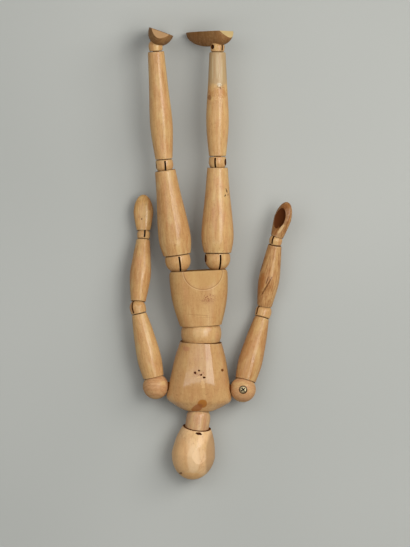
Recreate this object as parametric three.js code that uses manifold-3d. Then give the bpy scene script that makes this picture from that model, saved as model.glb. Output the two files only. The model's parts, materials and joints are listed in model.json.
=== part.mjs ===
// A jointed wooden drawing figure, lying face down with its arms at its sides.
// Turned limbs meet at slotted knuckle balls. Each knuckle turns on a peg in one limb,
// and swings on a cross pin that also holds the flat steel strap of the other limb.
// Millimetres and degrees. X is the viewer's right, Y runs to the feet and Z is up.

import * as THREE from 'three';
import { mergeVertices } from 'three/addons/utils/BufferGeometryUtils.js';
import Module from 'manifold-3d';

// Fits shared by all pieces
const WOOD_GAP = 0.3;
const METAL_GAP = 0.2;
const EDGE = 0.6;

// Hip knuckle, between the pelvis and the thigh
const HIP_BALL = 8.6;
const HIP_FLAT = 3.4;
const HIP_PEG_RADIUS = 3.2;
const HIP_PEG_LENGTH = 8;
const HIP_EYE = 2.6;
const HIP_STRAP_LENGTH = 12;
const HIP_PIN_RADIUS = 1.2;
const HIP_HEAD_RADIUS = 2.5;

// Knee knuckle, between the thigh and the shin
const KNEE_BALL = 5.95;
const KNEE_FLAT = 3.6;
const KNEE_PEG_RADIUS = 2.4;
const KNEE_PEG_LENGTH = 7;
const KNEE_EYE = 2.2;
const KNEE_STRAP_LENGTH = 14;
const KNEE_PIN_RADIUS = 1;
const KNEE_HEAD_RADIUS = 2.1;

// Ankle knuckle, between the shin and the foot
const ANKLE_BALL = 4.75;
const ANKLE_FLAT = 3.3;
const ANKLE_PEG_RADIUS = 2;
const ANKLE_PEG_LENGTH = 6;
const ANKLE_EYE = 1.9;
const ANKLE_STRAP_LENGTH = 6.6;
const ANKLE_PIN_RADIUS = 0.8;
const ANKLE_HEAD_RADIUS = 1.4;

// Shoulder ball, between the chest and the upper arm
const SHOULDER_BALL = 8.6;
const SHOULDER_SINK = 1;
const SHOULDER_PEG_RADIUS = 3.2;
const SHOULDER_PEG_LENGTH = 9;
const SHOULDER_SLOT_FLOOR = 4.8;
const SHOULDER_EYE = 2.6;
const SHOULDER_STRAP_LENGTH = 14;
const SHOULDER_PIN_RADIUS = 1.2;
const SHOULDER_HEAD_RADIUS = 2.1;
const SCREW_HEAD_RADIUS = 2.6;

// Elbow knuckle, between the upper arm and the forearm
const ELBOW_BALL = 5.45;
const ELBOW_FLAT = 3.9;
const ELBOW_PEG_RADIUS = 2.2;
const ELBOW_PEG_LENGTH = 7;
const ELBOW_EYE = 2.1;
const ELBOW_STRAP_LENGTH = 9.5;
const ELBOW_PIN_RADIUS = 0.9;
const ELBOW_HEAD_RADIUS = 1.6;

// Wrist knuckle, between the forearm and the hand
const WRIST_BALL = 4.4;
const WRIST_FLAT = 2.9;
const WRIST_PEG_RADIUS = 1.8;
const WRIST_PEG_LENGTH = 6;
const WRIST_EYE = 1.7;
const WRIST_STRAP_LENGTH = 8.5;
const WRIST_PIN_RADIUS = 0.8;
const WRIST_HEAD_RADIUS = 1.3;

// What all knuckles share
const KNUCKLE_WEB = 0.8;
const SLOT_WIDTH = 1.2;
const STRAP_THICKNESS = 0.7;
const STRAP_SHOULDER = 0.5;
const STRAP_PLAY = 1;
const PIN_SINK = 1.8;
const PIN_HEAD_THICKNESS = 0.9;
const PIN_TAIL_WALL = 1.4;

// Thigh
const THIGH_LENGTH = 64.4;
const THIGH_TOP_RADIUS = 9.3;
const THIGH_SWELL_RADIUS = 10.8;
const THIGH_SWELL_AT = 17;
const THIGH_TAPER_RADIUS = 8.1;
const THIGH_TAPER_AT = 45;
const THIGH_KNEE_RIM = 3.7;
const THIGH_KNEE_LIP = 1.9;

// Shin. The right one is mended at its ankle end and a little shorter.
const LEFT_SHIN_LENGTH = 79.4;
const RIGHT_SHIN_LENGTH = 76.9;
const SHIN_TOP_RADIUS = 5.8;
const SHIN_CALF_RADIUS = 7.55;
const SHIN_CALF_AT = 27;
const SHIN_TAPER_RADIUS = 6.35;
const SHIN_TAPER_AT = 53;
const SHIN_END_RADIUS = 5.45;

// Foot, a half egg with a flat sole and a flat cut at the heel
const FOOT_WIDTH = 17;
const FOOT_TOE_REACH = 29.5;
const FOOT_HEEL_REACH = 12.5;
const FOOT_SOLE_DROP = 10.4;
const FOOT_HEIGHT = 9.8;
const FOOT_FULLEST_AT = 8;
const FOOT_HEEL_CUT_ANGLE = 40;
const FOOT_HEEL_CUT_SOLE = 4.4;

// Upper arm
const UPPER_ARM_LENGTH = 54.2;
const UPPER_ARM_RIM = 6.2;
const UPPER_ARM_LIP = 0.6;
const UPPER_ARM_SWELL_RADIUS = 8.05;
const UPPER_ARM_SWELL_AT = 19;
const UPPER_ARM_TAPER_RADIUS = 6.8;
const UPPER_ARM_TAPER_AT = 36;
const UPPER_ARM_END_RADIUS = 5;

// Forearm
const FOREARM_LENGTH = 49.4;
const FOREARM_RIM = 4.1;
const FOREARM_LIP = 1;
const FOREARM_SWELL_RADIUS = 7;
const FOREARM_SWELL_AT = 21;
const FOREARM_TAPER_RADIUS = 5.9;
const FOREARM_TAPER_AT = 35;
const FOREARM_END_RADIUS = 4.55;

// Hand, a spoon with a hollow palm
const HAND_LENGTH = 27;
const HAND_RIM = 2.8;
const HAND_NECK_WIDTH = 8.8;
const HAND_NECK_DEPTH = 8;
const HAND_WIDTH = 13.2;
const HAND_DEPTH = 8.4;
const HAND_HEEL_WIDTH = 10.8;
const HAND_HEEL_AT = 6.6;
const HAND_WIDEST_AT = 14.5;
const PALM_WIDTH = 9;
const PALM_LENGTH = 14.5;
const PALM_HOLLOW = 2.6;
const PALM_AT = 15.5;

// Waist ball, and the rims of chest and pelvis round it
const WAIST_BALL = 13.5;
const WAIST_RIM = 5.6;
const WAIST_RIM_RADIUS = 13.9;

// Pelvis, measured from the line through the hip centres
const HIP_SPACING = 26.5;
const PELVIS_LEG_END = 7.4;
const PELVIS_WAIST_END = 44.2;
const PELVIS_LEG_WIDTH = 36.9;
const PELVIS_WIDTH = 38.8;
const PELVIS_DEPTH = 27;
const PELVIS_FULLEST_AT = 15;
const PELVIS_BELLY_WIDTH = 37.3;
const PELVIS_BELLY_AT = 25;
const PELVIS_TAPER_WIDTH = 33;
const PELVIS_TAPER_AT = 35.5;
const PELVIS_BEVEL_RISE = 10.9;
const PELVIS_BEVEL_DEPTH = 1.65;
const PELVIS_BEVEL_TURN = -2.3;
const PELVIS_CHAMFER = 2;
const PELVIS_SQUARENESS = 2.6;

// Chest, measured from its rim at the waist
const CHEST_LENGTH = 46.4;
const CHEST_WIDTH = 43.4;
const CHEST_DEPTH = 30;
const CHEST_FRONT_SHIFT = -1.1;
const CHEST_SHOULDER_AT = 31;
const CHEST_WIDEST_AT = 38.5;
const CHEST_RIBS_WIDTH = 38;
const CHEST_RIBS_AT = 21;
const CHEST_LOWER_WIDTH = 34;
const CHEST_SLOPE_WIDTH = 34;
const CHEST_TOP_WIDTH = 21;
const CHEST_TOP_DEPTH = 15;
const CHEST_SQUARENESS = 2.4;

// Neck, a short column with a round end in the chest and another in the head
const NECK_RADIUS = 8;
const NECK_SEAT_DEPTH = 3.6;
const NECK_LENGTH = 8.4;

// Head, an egg with its neck end cut on the slant
const HEAD_LENGTH = 33.4;
const HEAD_WIDTH = 29;
const HEAD_DEPTH = 29;
const HEAD_WIDEST_AT = 16;
const HEAD_CHEEK_WIDTH = 26.4;
const HEAD_CHEEK_AT = 7.8;
const HEAD_RIM = 2.2;
const HEAD_RIM_RADIUS = 9.4;
const HEAD_RIM_SLANT = 14;
const HEAD_FLAT_DEPTH = 0.8;
const HEAD_FLAT_TURN = -17;

// Springs inside the wood
const SPRING_WIRE_RADIUS = 0.4;
const SPRING_PITCH = 3.2;
const SPRING_STEPS = 6;
const SPRING_SIDES = 3;
const SPRING_BORE = 3.6;
const SPRING_PLAY = 1.6;
const SPRING_SEAT = 8;
const LIMB_SPRING_LENGTH = 8;

// Faces round a turned piece, a bore and a pin
const TURNED_SIDES = 14;
const BORE_SIDES = 8;
const OVAL_SIDES = 18;
const OUTLINE_STEPS = 5;
const ARC_STEPS = 3;
const EYE_STEPS = 4;
const ROUND_END = [0.42, 0.7, 0.88, 0.97, 1];
const ROUND_END_TIP = 0.004;

// How the figure lies. Tilt and splay turn towards the viewer's right, rise is upwards
// towards the feet, and a slot angle turns a knuckle's slot from straight up to the right.
const PELVIS_TILT = 2.7;
const PELVIS_RISE = 2.5;
const CHEST_TILT = -2;
const CHEST_RISE = 4;
const NECK_TILT = -8;
const NECK_RISE = -1.5;
const HEAD_TILT = -7.4;
const HEAD_RISE = 0;
const LEFT_LIE = {
  thigh: { splay: -8.1, rise: 3.1 },
  shin: { splay: -4.2, rise: 3.9 },
  foot: { splay: 20, rise: 3.9 },
  upperArm: { splay: -12.8, rise: 2 },
  forearm: { splay: 4.5, rise: -7 },
  hand: { splay: -0.4, rise: -4 },
  hipSlot: 187.7,
  kneeSlot: 6.5,
  ankleSlot: 90,
  toeTurn: 180,
  elbowSlot: 138,
  wristSlot: 10,
  palmTurn: 180,
};
const RIGHT_LIE = {
  thigh: { splay: 0, rise: 1.9 },
  shin: { splay: 0, rise: 0.9 },
  foot: { splay: 0, rise: 0.9 },
  upperArm: { splay: 14.9, rise: -8 },
  forearm: { splay: 9.6, rise: 10 },
  hand: { splay: 17.5, rise: 8 },
  hipSlot: 14,
  kneeSlot: 163.5,
  ankleSlot: 222,
  toeTurn: 222,
  elbowSlot: 127,
  wristSlot: 148,
  palmTurn: -40,
};

const wasm = await Module();
wasm.setup();

// Closed meshes, joined and cut

// Merges shared corners, drops flattened triangles and turns all faces outwards.
function closed(source) {
  const bare = source.index ? source.toNonIndexed() : source.clone();
  bare.deleteAttribute('normal');
  bare.deleteAttribute('uv');
  const merged = mergeVertices(bare, 1e-4);
  const old = merged.index.array;
  const place = merged.attributes.position;
  const kept = [];
  const a = new THREE.Vector3();
  const b = new THREE.Vector3();
  const c = new THREE.Vector3();
  let volume = 0;
  for (let i = 0; i < old.length; i += 3) {
    const [p, q, r] = [old[i], old[i + 1], old[i + 2]];
    if (p === q || q === r || r === p) continue;
    kept.push(p, q, r);
    a.fromBufferAttribute(place, p);
    b.fromBufferAttribute(place, q);
    c.fromBufferAttribute(place, r);
    volume += a.dot(b.cross(c));
  }
  if (volume < 0) kept.reverse();
  merged.setIndex(kept);
  return merged;
}

function solidOf(geometry) {
  const mesh = closed(geometry);
  return new wasm.Manifold(new wasm.Mesh({
    numProp: 3,
    vertProperties: new Float32Array(mesh.attributes.position.array),
    triVerts: new Uint32Array(mesh.index.array),
  }));
}

function geometryOf(solid) {
  const mesh = solid.getMesh();
  const geometry = new THREE.BufferGeometry();
  geometry.setAttribute('position', new THREE.BufferAttribute(mesh.vertProperties, 3));
  geometry.setIndex(new THREE.BufferAttribute(mesh.triVerts, 1));
  return geometry;
}

function cut(geometry, ...tools) {
  let solid = solidOf(geometry);
  for (const tool of tools) solid = solid.subtract(solidOf(tool));
  return geometryOf(solid);
}

// Outlines and simple forms

const radians = THREE.MathUtils.degToRad;

// Points of a circle about (0, centre) in a turning profile, angles from the radius axis.
function arc(radius, from, to, centre = 0) {
  const points = [];
  for (let i = 0; i <= ARC_STEPS; i += 1) {
    const angle = from + (to - from) * i / ARC_STEPS;
    points.push([Math.max(0, radius * Math.cos(angle)), centre + radius * Math.sin(angle)]);
  }
  return points;
}

function turned(points, sides = TURNED_SIDES) {
  return new THREE.LatheGeometry(points.map(([r, y]) => new THREE.Vector2(r, y)), sides);
}

function smooth(points, steps = OUTLINE_STEPS) {
  const curve = new THREE.SplineCurve(points.map(([r, y]) => new THREE.Vector2(r, y)));
  return curve.getPoints(steps).map((point) => [point.x, point.y]);
}

function ball(radius, at = [0, 0, 0]) {
  const lower = arc(radius, -Math.PI / 2, 0).slice(0, -1);
  return turned([...lower, ...arc(radius, 0, Math.PI / 2)]).translate(...at);
}

// The flat faces of a socket this wide stay outside a ball and its gap.
function socketRadius(ballRadius) {
  const rowHalf = Math.PI / 4 / ARC_STEPS;
  return (ballRadius + WOOD_GAP) / Math.cos(rowHalf) / Math.cos(Math.PI / TURNED_SIDES);
}

function rod(radius, from, to) {
  return new THREE.CylinderGeometry(radius, radius, to - from, BORE_SIDES).translate(0, (from + to) / 2, 0);
}

// A skin through oval rings. A station is [place along Y, width, depth, shift along Z].
function loft(stations, rings, power = 2) {
  const last = stations.length - 1;
  const widths = new THREE.SplineCurve(stations.map(([y, w]) => new THREE.Vector2(y, w)));
  const depths = new THREE.SplineCurve(stations.map(([, , d, z]) => new THREE.Vector2(d, z)));
  const points = [];
  for (let i = 0; i <= rings; i += 1) {
    const { x: y, y: width } = widths.getPoint(i / rings);
    const { x: depth, y: shift } = depths.getPoint(i / rings);
    for (let j = 0; j < OVAL_SIDES; j += 1) {
      const angle = 2 * Math.PI * j / OVAL_SIDES;
      const [c, s] = [Math.cos(angle), Math.sin(angle)];
      const x = Math.sign(c) * Math.abs(c) ** (2 / power) * width / 2;
      const z = Math.sign(s) * Math.abs(s) ** (2 / power) * depth / 2;
      points.push(x, y, z + shift);
    }
  }
  const [first, end] = [stations[0], stations[last]];
  points.push(0, first[0], first[3], 0, end[0], end[3]);
  const faces = [];
  const corner = (ring, side) => ring * OVAL_SIDES + side % OVAL_SIDES;
  const centre = (rings + 1) * OVAL_SIDES;
  for (let j = 0; j < OVAL_SIDES; j += 1) {
    for (let i = 0; i < rings; i += 1) {
      faces.push(corner(i, j), corner(i + 1, j), corner(i + 1, j + 1));
      faces.push(corner(i, j), corner(i + 1, j + 1), corner(i, j + 1));
    }
    faces.push(centre, corner(0, j), corner(0, j + 1));
    faces.push(centre + 1, corner(rings, j + 1), corner(rings, j));
  }
  const geometry = new THREE.BufferGeometry();
  geometry.setAttribute('position', new THREE.Float32BufferAttribute(points, 3));
  geometry.setIndex(faces);
  return geometry;
}

// Stations that close a form over to a round end, as a quarter of an oval.
function roundedEnd(from, to, width, depth) {
  return ROUND_END.map((part) => {
    const size = Math.sqrt(1 + ROUND_END_TIP - part ** 2);
    return [from + (to - from) * part, width * size, depth * size, 0];
  });
}

// A wire wound along Y from 0 to its length.
function spring(outerRadius, length) {
  const radius = outerRadius - SPRING_WIRE_RADIUS;
  const travel = length - 2 * SPRING_WIRE_RADIUS;
  const turns = Math.max(2, Math.round(travel / SPRING_PITCH));
  const steps = turns * SPRING_STEPS;
  const points = [];
  for (let i = 0; i <= steps; i += 1) {
    const angle = 2 * Math.PI * i / SPRING_STEPS;
    const y = SPRING_WIRE_RADIUS + travel * i / steps;
    for (let j = 0; j < SPRING_SIDES; j += 1) {
      const round = 2 * Math.PI * j / SPRING_SIDES;
      const out = radius + SPRING_WIRE_RADIUS * Math.cos(round);
      points.push(out * Math.cos(angle), y + SPRING_WIRE_RADIUS * Math.sin(round), out * Math.sin(angle));
    }
  }
  const faces = [];
  const corner = (step, side) => step * SPRING_SIDES + side % SPRING_SIDES;
  for (let j = 0; j < SPRING_SIDES; j += 1) {
    for (let i = 0; i < steps; i += 1) {
      faces.push(corner(i, j), corner(i + 1, j), corner(i + 1, j + 1));
      faces.push(corner(i, j), corner(i + 1, j + 1), corner(i, j + 1));
    }
  }
  for (let j = 1; j < SPRING_SIDES - 1; j += 1) {
    faces.push(corner(0, 0), corner(0, j), corner(0, j + 1));
    faces.push(corner(steps, 0), corner(steps, j + 1), corner(steps, j));
  }
  const geometry = new THREE.BufferGeometry();
  geometry.setAttribute('position', new THREE.Float32BufferAttribute(points, 3));
  geometry.setIndex(faces);
  return geometry;
}

// Knuckles, with their pins and straps. The hinge side is +Y and the pin lies along X.

const knuckleSizes = {
  hip: {
    ball: HIP_BALL, flat: HIP_FLAT, slotFloor: HIP_FLAT - KNUCKLE_WEB,
    pegRadius: HIP_PEG_RADIUS, pegLength: HIP_PEG_LENGTH,
    eye: HIP_EYE, strap: HIP_STRAP_LENGTH, pin: HIP_PIN_RADIUS, head: HIP_HEAD_RADIUS,
  },
  knee: {
    ball: KNEE_BALL, flat: KNEE_FLAT, slotFloor: KNEE_FLAT - KNUCKLE_WEB,
    pegRadius: KNEE_PEG_RADIUS, pegLength: KNEE_PEG_LENGTH,
    eye: KNEE_EYE, strap: KNEE_STRAP_LENGTH, pin: KNEE_PIN_RADIUS, head: KNEE_HEAD_RADIUS,
  },
  ankle: {
    ball: ANKLE_BALL, flat: ANKLE_FLAT, slotFloor: ANKLE_FLAT - KNUCKLE_WEB,
    pegRadius: ANKLE_PEG_RADIUS, pegLength: ANKLE_PEG_LENGTH,
    eye: ANKLE_EYE, strap: ANKLE_STRAP_LENGTH, pin: ANKLE_PIN_RADIUS, head: ANKLE_HEAD_RADIUS,
  },
  shoulder: {
    round: true, ball: SHOULDER_BALL, flat: SHOULDER_BALL - SHOULDER_SINK / 2, slotFloor: SHOULDER_SLOT_FLOOR,
    pegRadius: SHOULDER_PEG_RADIUS, pegLength: SHOULDER_PEG_LENGTH,
    eye: SHOULDER_EYE, strap: SHOULDER_STRAP_LENGTH, pin: SHOULDER_PIN_RADIUS, head: SHOULDER_HEAD_RADIUS,
  },
  elbow: {
    ball: ELBOW_BALL, flat: ELBOW_FLAT, slotFloor: ELBOW_FLAT - KNUCKLE_WEB,
    pegRadius: ELBOW_PEG_RADIUS, pegLength: ELBOW_PEG_LENGTH,
    eye: ELBOW_EYE, strap: ELBOW_STRAP_LENGTH, pin: ELBOW_PIN_RADIUS, head: ELBOW_HEAD_RADIUS,
  },
  wrist: {
    ball: WRIST_BALL, flat: WRIST_FLAT, slotFloor: WRIST_FLAT - KNUCKLE_WEB,
    pegRadius: WRIST_PEG_RADIUS, pegLength: WRIST_PEG_LENGTH,
    eye: WRIST_EYE, strap: WRIST_STRAP_LENGTH, pin: WRIST_PIN_RADIUS, head: WRIST_HEAD_RADIUS,
  },
};
knuckleSizes.screwedShoulder = { ...knuckleSizes.shoulder, head: SCREW_HEAD_RADIUS };

const headSeat = (size) => size.ball - PIN_SINK - PIN_HEAD_THICKNESS;
const pinTail = (size) => -(size.ball - PIN_TAIL_WALL);
const alongX = (geometry) => geometry.rotateZ(-Math.PI / 2);

// The shoulders are round all over. The other knuckles have straight sides down to the peg.
function knuckle(size) {
  const lowerSide = size.round
    ? arc(size.ball, -Math.asin(size.flat / size.ball), 0).slice(0, -1)
    : [[size.ball - EDGE, -size.flat], [size.ball, EDGE - size.flat]];
  const body = turned([
    [0, -size.flat - size.pegLength],
    [size.pegRadius, -size.flat - size.pegLength],
    [size.pegRadius, -size.flat],
    ...lowerSide,
    ...arc(size.ball, 0, Math.PI / 2),
  ]);
  const slotHeight = size.ball + size.slotFloor + EDGE;
  const slot = new THREE.BoxGeometry(SLOT_WIDTH, slotHeight, 2 * size.ball + EDGE);
  slot.translate(0, slotHeight / 2 - size.slotFloor, 0);
  const bore = alongX(rod(size.pin + METAL_GAP, pinTail(size) - METAL_GAP, size.ball + EDGE));
  const recess = alongX(rod(size.head + METAL_GAP, headSeat(size) - METAL_GAP, size.ball + EDGE));
  return cut(body, slot, bore, recess);
}

function pin(size) {
  return alongX(turned([
    [0, pinTail(size)],
    [size.pin, pinTail(size)],
    [size.pin, headSeat(size)],
    [size.head, headSeat(size)],
    [size.head, headSeat(size) + PIN_HEAD_THICKNESS],
    [0, headSeat(size) + PIN_HEAD_THICKNESS],
  ], BORE_SIDES));
}

function strap(size) {
  const halfWidth = size.eye - STRAP_SHOULDER;
  const neck = Math.sqrt(size.eye ** 2 - halfWidth ** 2);
  const start = Math.atan2(neck, -halfWidth);
  const outline = new THREE.Shape();
  outline.moveTo(halfWidth, size.strap);
  outline.lineTo(-halfWidth, size.strap);
  outline.lineTo(-halfWidth, neck);
  outline.absarc(0, 0, size.eye, start, 3 * Math.PI - start, false);
  outline.lineTo(halfWidth, size.strap);
  const hole = new THREE.Path();
  hole.absarc(0, 0, size.pin + METAL_GAP, 0, 2 * Math.PI, true);
  outline.holes.push(hole);
  const plate = new THREE.ExtrudeGeometry(outline, {
    depth: STRAP_THICKNESS, bevelEnabled: false, curveSegments: EYE_STEPS,
  });
  return plate.translate(0, 0, -STRAP_THICKNESS / 2).rotateY(Math.PI / 2);
}

// Limbs. One end is a round socket for a hinged knuckle or a flat end bored for a peg.

function socketEnd(size, rim, lip) {
  const hollow = socketRadius(size.ball);
  const bore = size.eye + STRAP_PLAY;
  const depth = size.strap + WOOD_GAP;
  const mouth = Math.sqrt(hollow ** 2 - rim ** 2);
  return {
    radius: mouth + lip,
    at: rim,
    profile: [[0, depth], [bore, depth], ...arc(hollow, Math.acos(bore / hollow), Math.acos(mouth / hollow))],
  };
}

function springSocketEnd(size, rim, lip) {
  const end = socketEnd(size, rim, lip);
  const depth = size.strap + LIMB_SPRING_LENGTH + 2 * WOOD_GAP;
  end.profile[0][1] = depth;
  end.profile[1][1] = depth;
  return end;
}

function flatEnd(size, radius) {
  const bore = size.pegRadius + WOOD_GAP;
  const at = size.flat + WOOD_GAP;
  const depth = at + size.pegLength;
  return { radius, at, profile: [[0, depth], [bore, depth], [bore, at]] };
}

// A turned limb from its near joint at y = 0 to its far joint at y = length.
function limb(length, near, swells, far) {
  const outline = smooth([
    [near.radius, near.at + EDGE],
    ...swells,
    [far.radius, length - far.at - EDGE],
  ]);
  const farProfile = far.profile.map(([r, y]) => [r, length - y]).reverse();
  return turned([
    ...near.profile,
    [near.radius - EDGE / 2, near.at],
    ...outline,
    [far.radius - EDGE / 2, length - far.at],
    ...farProfile,
  ]);
}

function thigh() {
  return limb(
    THIGH_LENGTH,
    flatEnd(knuckleSizes.hip, THIGH_TOP_RADIUS),
    [[THIGH_SWELL_RADIUS, THIGH_SWELL_AT], [THIGH_TAPER_RADIUS, THIGH_TAPER_AT]],
    springSocketEnd(knuckleSizes.knee, THIGH_KNEE_RIM, THIGH_KNEE_LIP),
  );
}

function shin(length) {
  return limb(
    length,
    flatEnd(knuckleSizes.knee, SHIN_TOP_RADIUS),
    [[SHIN_CALF_RADIUS, SHIN_CALF_AT], [SHIN_TAPER_RADIUS, SHIN_TAPER_AT]],
    flatEnd(knuckleSizes.ankle, SHIN_END_RADIUS),
  );
}

function upperArm() {
  return limb(
    UPPER_ARM_LENGTH,
    socketEnd(knuckleSizes.shoulder, UPPER_ARM_RIM, UPPER_ARM_LIP),
    [[UPPER_ARM_SWELL_RADIUS, UPPER_ARM_SWELL_AT], [UPPER_ARM_TAPER_RADIUS, UPPER_ARM_TAPER_AT]],
    flatEnd(knuckleSizes.elbow, UPPER_ARM_END_RADIUS),
  );
}

function forearm() {
  return limb(
    FOREARM_LENGTH,
    socketEnd(knuckleSizes.elbow, FOREARM_RIM, FOREARM_LIP),
    [[FOREARM_SWELL_RADIUS, FOREARM_SWELL_AT], [FOREARM_TAPER_RADIUS, FOREARM_TAPER_AT]],
    flatEnd(knuckleSizes.wrist, FOREARM_END_RADIUS),
  );
}

// Hand and foot, from the joint at the origin with +Y away from the limb

function hand() {
  const size = knuckleSizes.wrist;
  const spoon = loft([
    [HAND_RIM, HAND_NECK_WIDTH, HAND_NECK_DEPTH, 0],
    [HAND_HEEL_AT, HAND_HEEL_WIDTH, HAND_NECK_DEPTH, 0],
    [HAND_WIDEST_AT, HAND_WIDTH, HAND_DEPTH, 0],
    ...roundedEnd(HAND_WIDEST_AT, HAND_LENGTH, HAND_WIDTH, HAND_DEPTH),
  ], 7);
  const palm = ball(1).scale(PALM_WIDTH / 2, PALM_LENGTH / 2, PALM_HOLLOW);
  palm.translate(0, PALM_AT, HAND_DEPTH / 2);
  return cut(
    spoon,
    palm,
    ball(socketRadius(size.ball)),
    rod(size.eye + STRAP_PLAY, 0, size.strap + WOOD_GAP),
  );
}

// The toe points along +Z and the sole faces +Y.
function foot() {
  const size = knuckleSizes.ankle;
  const hull = loft([
    [-FOOT_HEEL_REACH, FOOT_WIDTH * 0.2, FOOT_HEIGHT * 0.9, 0],
    [-FOOT_HEEL_REACH + EDGE, FOOT_WIDTH * 0.44, FOOT_HEIGHT * 1.1, 0],
    [-FOOT_HEEL_REACH / 2, FOOT_WIDTH * 0.86, FOOT_HEIGHT * 1.8, 0],
    [FOOT_FULLEST_AT / 2, FOOT_WIDTH * 0.98, FOOT_HEIGHT * 2, 0],
    [FOOT_FULLEST_AT, FOOT_WIDTH, FOOT_HEIGHT * 2, 0],
    ...roundedEnd(FOOT_FULLEST_AT, FOOT_TOE_REACH, FOOT_WIDTH, FOOT_HEIGHT * 2),
  ], 9);
  hull.rotateX(Math.PI / 2).translate(0, FOOT_SOLE_DROP, 0);
  const span = 2 * (FOOT_TOE_REACH + FOOT_HEEL_REACH);
  const below = new THREE.BoxGeometry(span, span, span).translate(0, FOOT_SOLE_DROP + span / 2, 0);
  const heel = new THREE.BoxGeometry(span, span, span).translate(0, 0, -span / 2);
  heel.rotateX(radians(FOOT_HEEL_CUT_ANGLE));
  heel.translate(0, FOOT_SOLE_DROP - FOOT_HEEL_CUT_SOLE, -FOOT_HEEL_REACH);
  return cut(
    hull,
    below,
    heel,
    ball(socketRadius(size.ball)),
    rod(size.eye + STRAP_PLAY, 0, size.strap + WOOD_GAP),
  );
}

// Trunk, with +Y towards the head

const waistCentre = PELVIS_WAIST_END + WAIST_RIM;
const shoulderOut = CHEST_WIDTH / 2 + SHOULDER_BALL - SHOULDER_SINK;
const shoulderUp = WAIST_RIM + CHEST_SHOULDER_AT;
const chestTop = WAIST_RIM + CHEST_LENGTH;
const neckCentre = chestTop + NECK_RADIUS + WOOD_GAP - NECK_SEAT_DEPTH;
const springHole = SPRING_BORE + SPRING_PLAY;

function pelvis() {
  const block = loft([
    [PELVIS_LEG_END, PELVIS_LEG_WIDTH, PELVIS_DEPTH, 0],
    [PELVIS_LEG_END + PELVIS_CHAMFER, PELVIS_WIDTH, PELVIS_DEPTH, 0],
    [PELVIS_FULLEST_AT, PELVIS_WIDTH, PELVIS_DEPTH, 0],
    [PELVIS_BELLY_AT, PELVIS_BELLY_WIDTH, PELVIS_DEPTH, 0],
    [PELVIS_TAPER_AT, PELVIS_TAPER_WIDTH, PELVIS_DEPTH, 0],
    [PELVIS_WAIST_END, 2 * WAIST_RIM_RADIUS, 2 * WAIST_RIM_RADIUS, 0],
  ], 8, PELVIS_SQUARENESS);
  const slope = Math.atan2(PELVIS_BEVEL_DEPTH, PELVIS_BEVEL_RISE);
  const bevels = [1, -1].map((face) => {
    const plane = new THREE.BoxGeometry(2 * PELVIS_WIDTH, 2 * PELVIS_WIDTH, PELVIS_DEPTH);
    plane.translate(0, 0, PELVIS_DEPTH / 2);
    plane.rotateX(slope);
    plane.translate(0, PELVIS_LEG_END, PELVIS_DEPTH / 2 - PELVIS_BEVEL_DEPTH);
    plane.rotateY(radians(PELVIS_BEVEL_TURN));
    return face > 0 ? plane : plane.rotateY(Math.PI);
  });
  const hipDepth = HIP_STRAP_LENGTH + LIMB_SPRING_LENGTH + 2 * WOOD_GAP;
  const hips = [1, -1].flatMap((side) => [
    ball(socketRadius(HIP_BALL), [side * HIP_SPACING / 2, 0, 0]),
    rod(HIP_EYE + STRAP_PLAY, 0, hipDepth).translate(side * HIP_SPACING / 2, 0, 0),
  ]);
  return cut(
    block,
    ...bevels,
    ...hips,
    ball(socketRadius(WAIST_BALL), [0, waistCentre, 0]),
    rod(springHole, waistCentre - WAIST_BALL - SPRING_SEAT, waistCentre),
  );
}

function waist() {
  const mouth = Math.acos(SPRING_BORE / WAIST_BALL);
  const side = arc(WAIST_BALL, -mouth, 0).slice(0, -1).concat(arc(WAIST_BALL, 0, mouth));
  return turned([...side, side[0]]);
}

function chest() {
  const block = loft([
    [WAIST_RIM, 2 * WAIST_RIM_RADIUS, 2 * WAIST_RIM_RADIUS, 0],
    [WAIST_RIM + CHEST_RIBS_AT / 2, CHEST_LOWER_WIDTH, CHEST_DEPTH, CHEST_FRONT_SHIFT],
    [WAIST_RIM + CHEST_RIBS_AT, CHEST_RIBS_WIDTH, CHEST_DEPTH, CHEST_FRONT_SHIFT],
    [shoulderUp, (CHEST_RIBS_WIDTH + 2 * CHEST_WIDTH) / 3, CHEST_DEPTH * 0.96, CHEST_FRONT_SHIFT],
    [WAIST_RIM + CHEST_WIDEST_AT, CHEST_WIDTH, CHEST_DEPTH * 0.88, CHEST_FRONT_SHIFT],
    [(WAIST_RIM + CHEST_WIDEST_AT + chestTop) / 2, CHEST_SLOPE_WIDTH, CHEST_DEPTH * 0.74, CHEST_FRONT_SHIFT],
    [chestTop - EDGE, CHEST_TOP_WIDTH, CHEST_TOP_DEPTH, 0],
    [chestTop, CHEST_TOP_WIDTH * 0.7, CHEST_TOP_DEPTH * 0.8, 0],
  ], 10, CHEST_SQUARENESS);
  const pegEnd = shoulderOut - knuckleSizes.shoulder.flat - SHOULDER_PEG_LENGTH;
  const shoulders = [1, -1].map((side) => ball(
    socketRadius(SHOULDER_BALL),
    [side * shoulderOut, shoulderUp, 0],
  ));
  const crossBore = alongX(rod(SHOULDER_PEG_RADIUS + WOOD_GAP, -shoulderOut, shoulderOut));
  crossBore.translate(0, shoulderUp, 0);
  return {
    pegEnd,
    geometry: cut(
      block,
      ...shoulders,
      crossBore,
      ball(socketRadius(WAIST_BALL), [0, 0, 0]),
      rod(springHole, 0, WAIST_BALL + SPRING_SEAT),
      ball(socketRadius(NECK_RADIUS), [0, neckCentre, 0]),
      rod(springHole, neckCentre - NECK_RADIUS - SPRING_SEAT / 2, neckCentre),
    ),
  };
}

// From the round end in the chest at y = 0 to the round end in the head.
function neck() {
  const mouth = Math.acos(SPRING_BORE / NECK_RADIUS);
  const side = arc(NECK_RADIUS, -mouth, 0).concat(arc(NECK_RADIUS, 0, mouth, NECK_LENGTH));
  return turned([...side, side[0]]);
}

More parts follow.
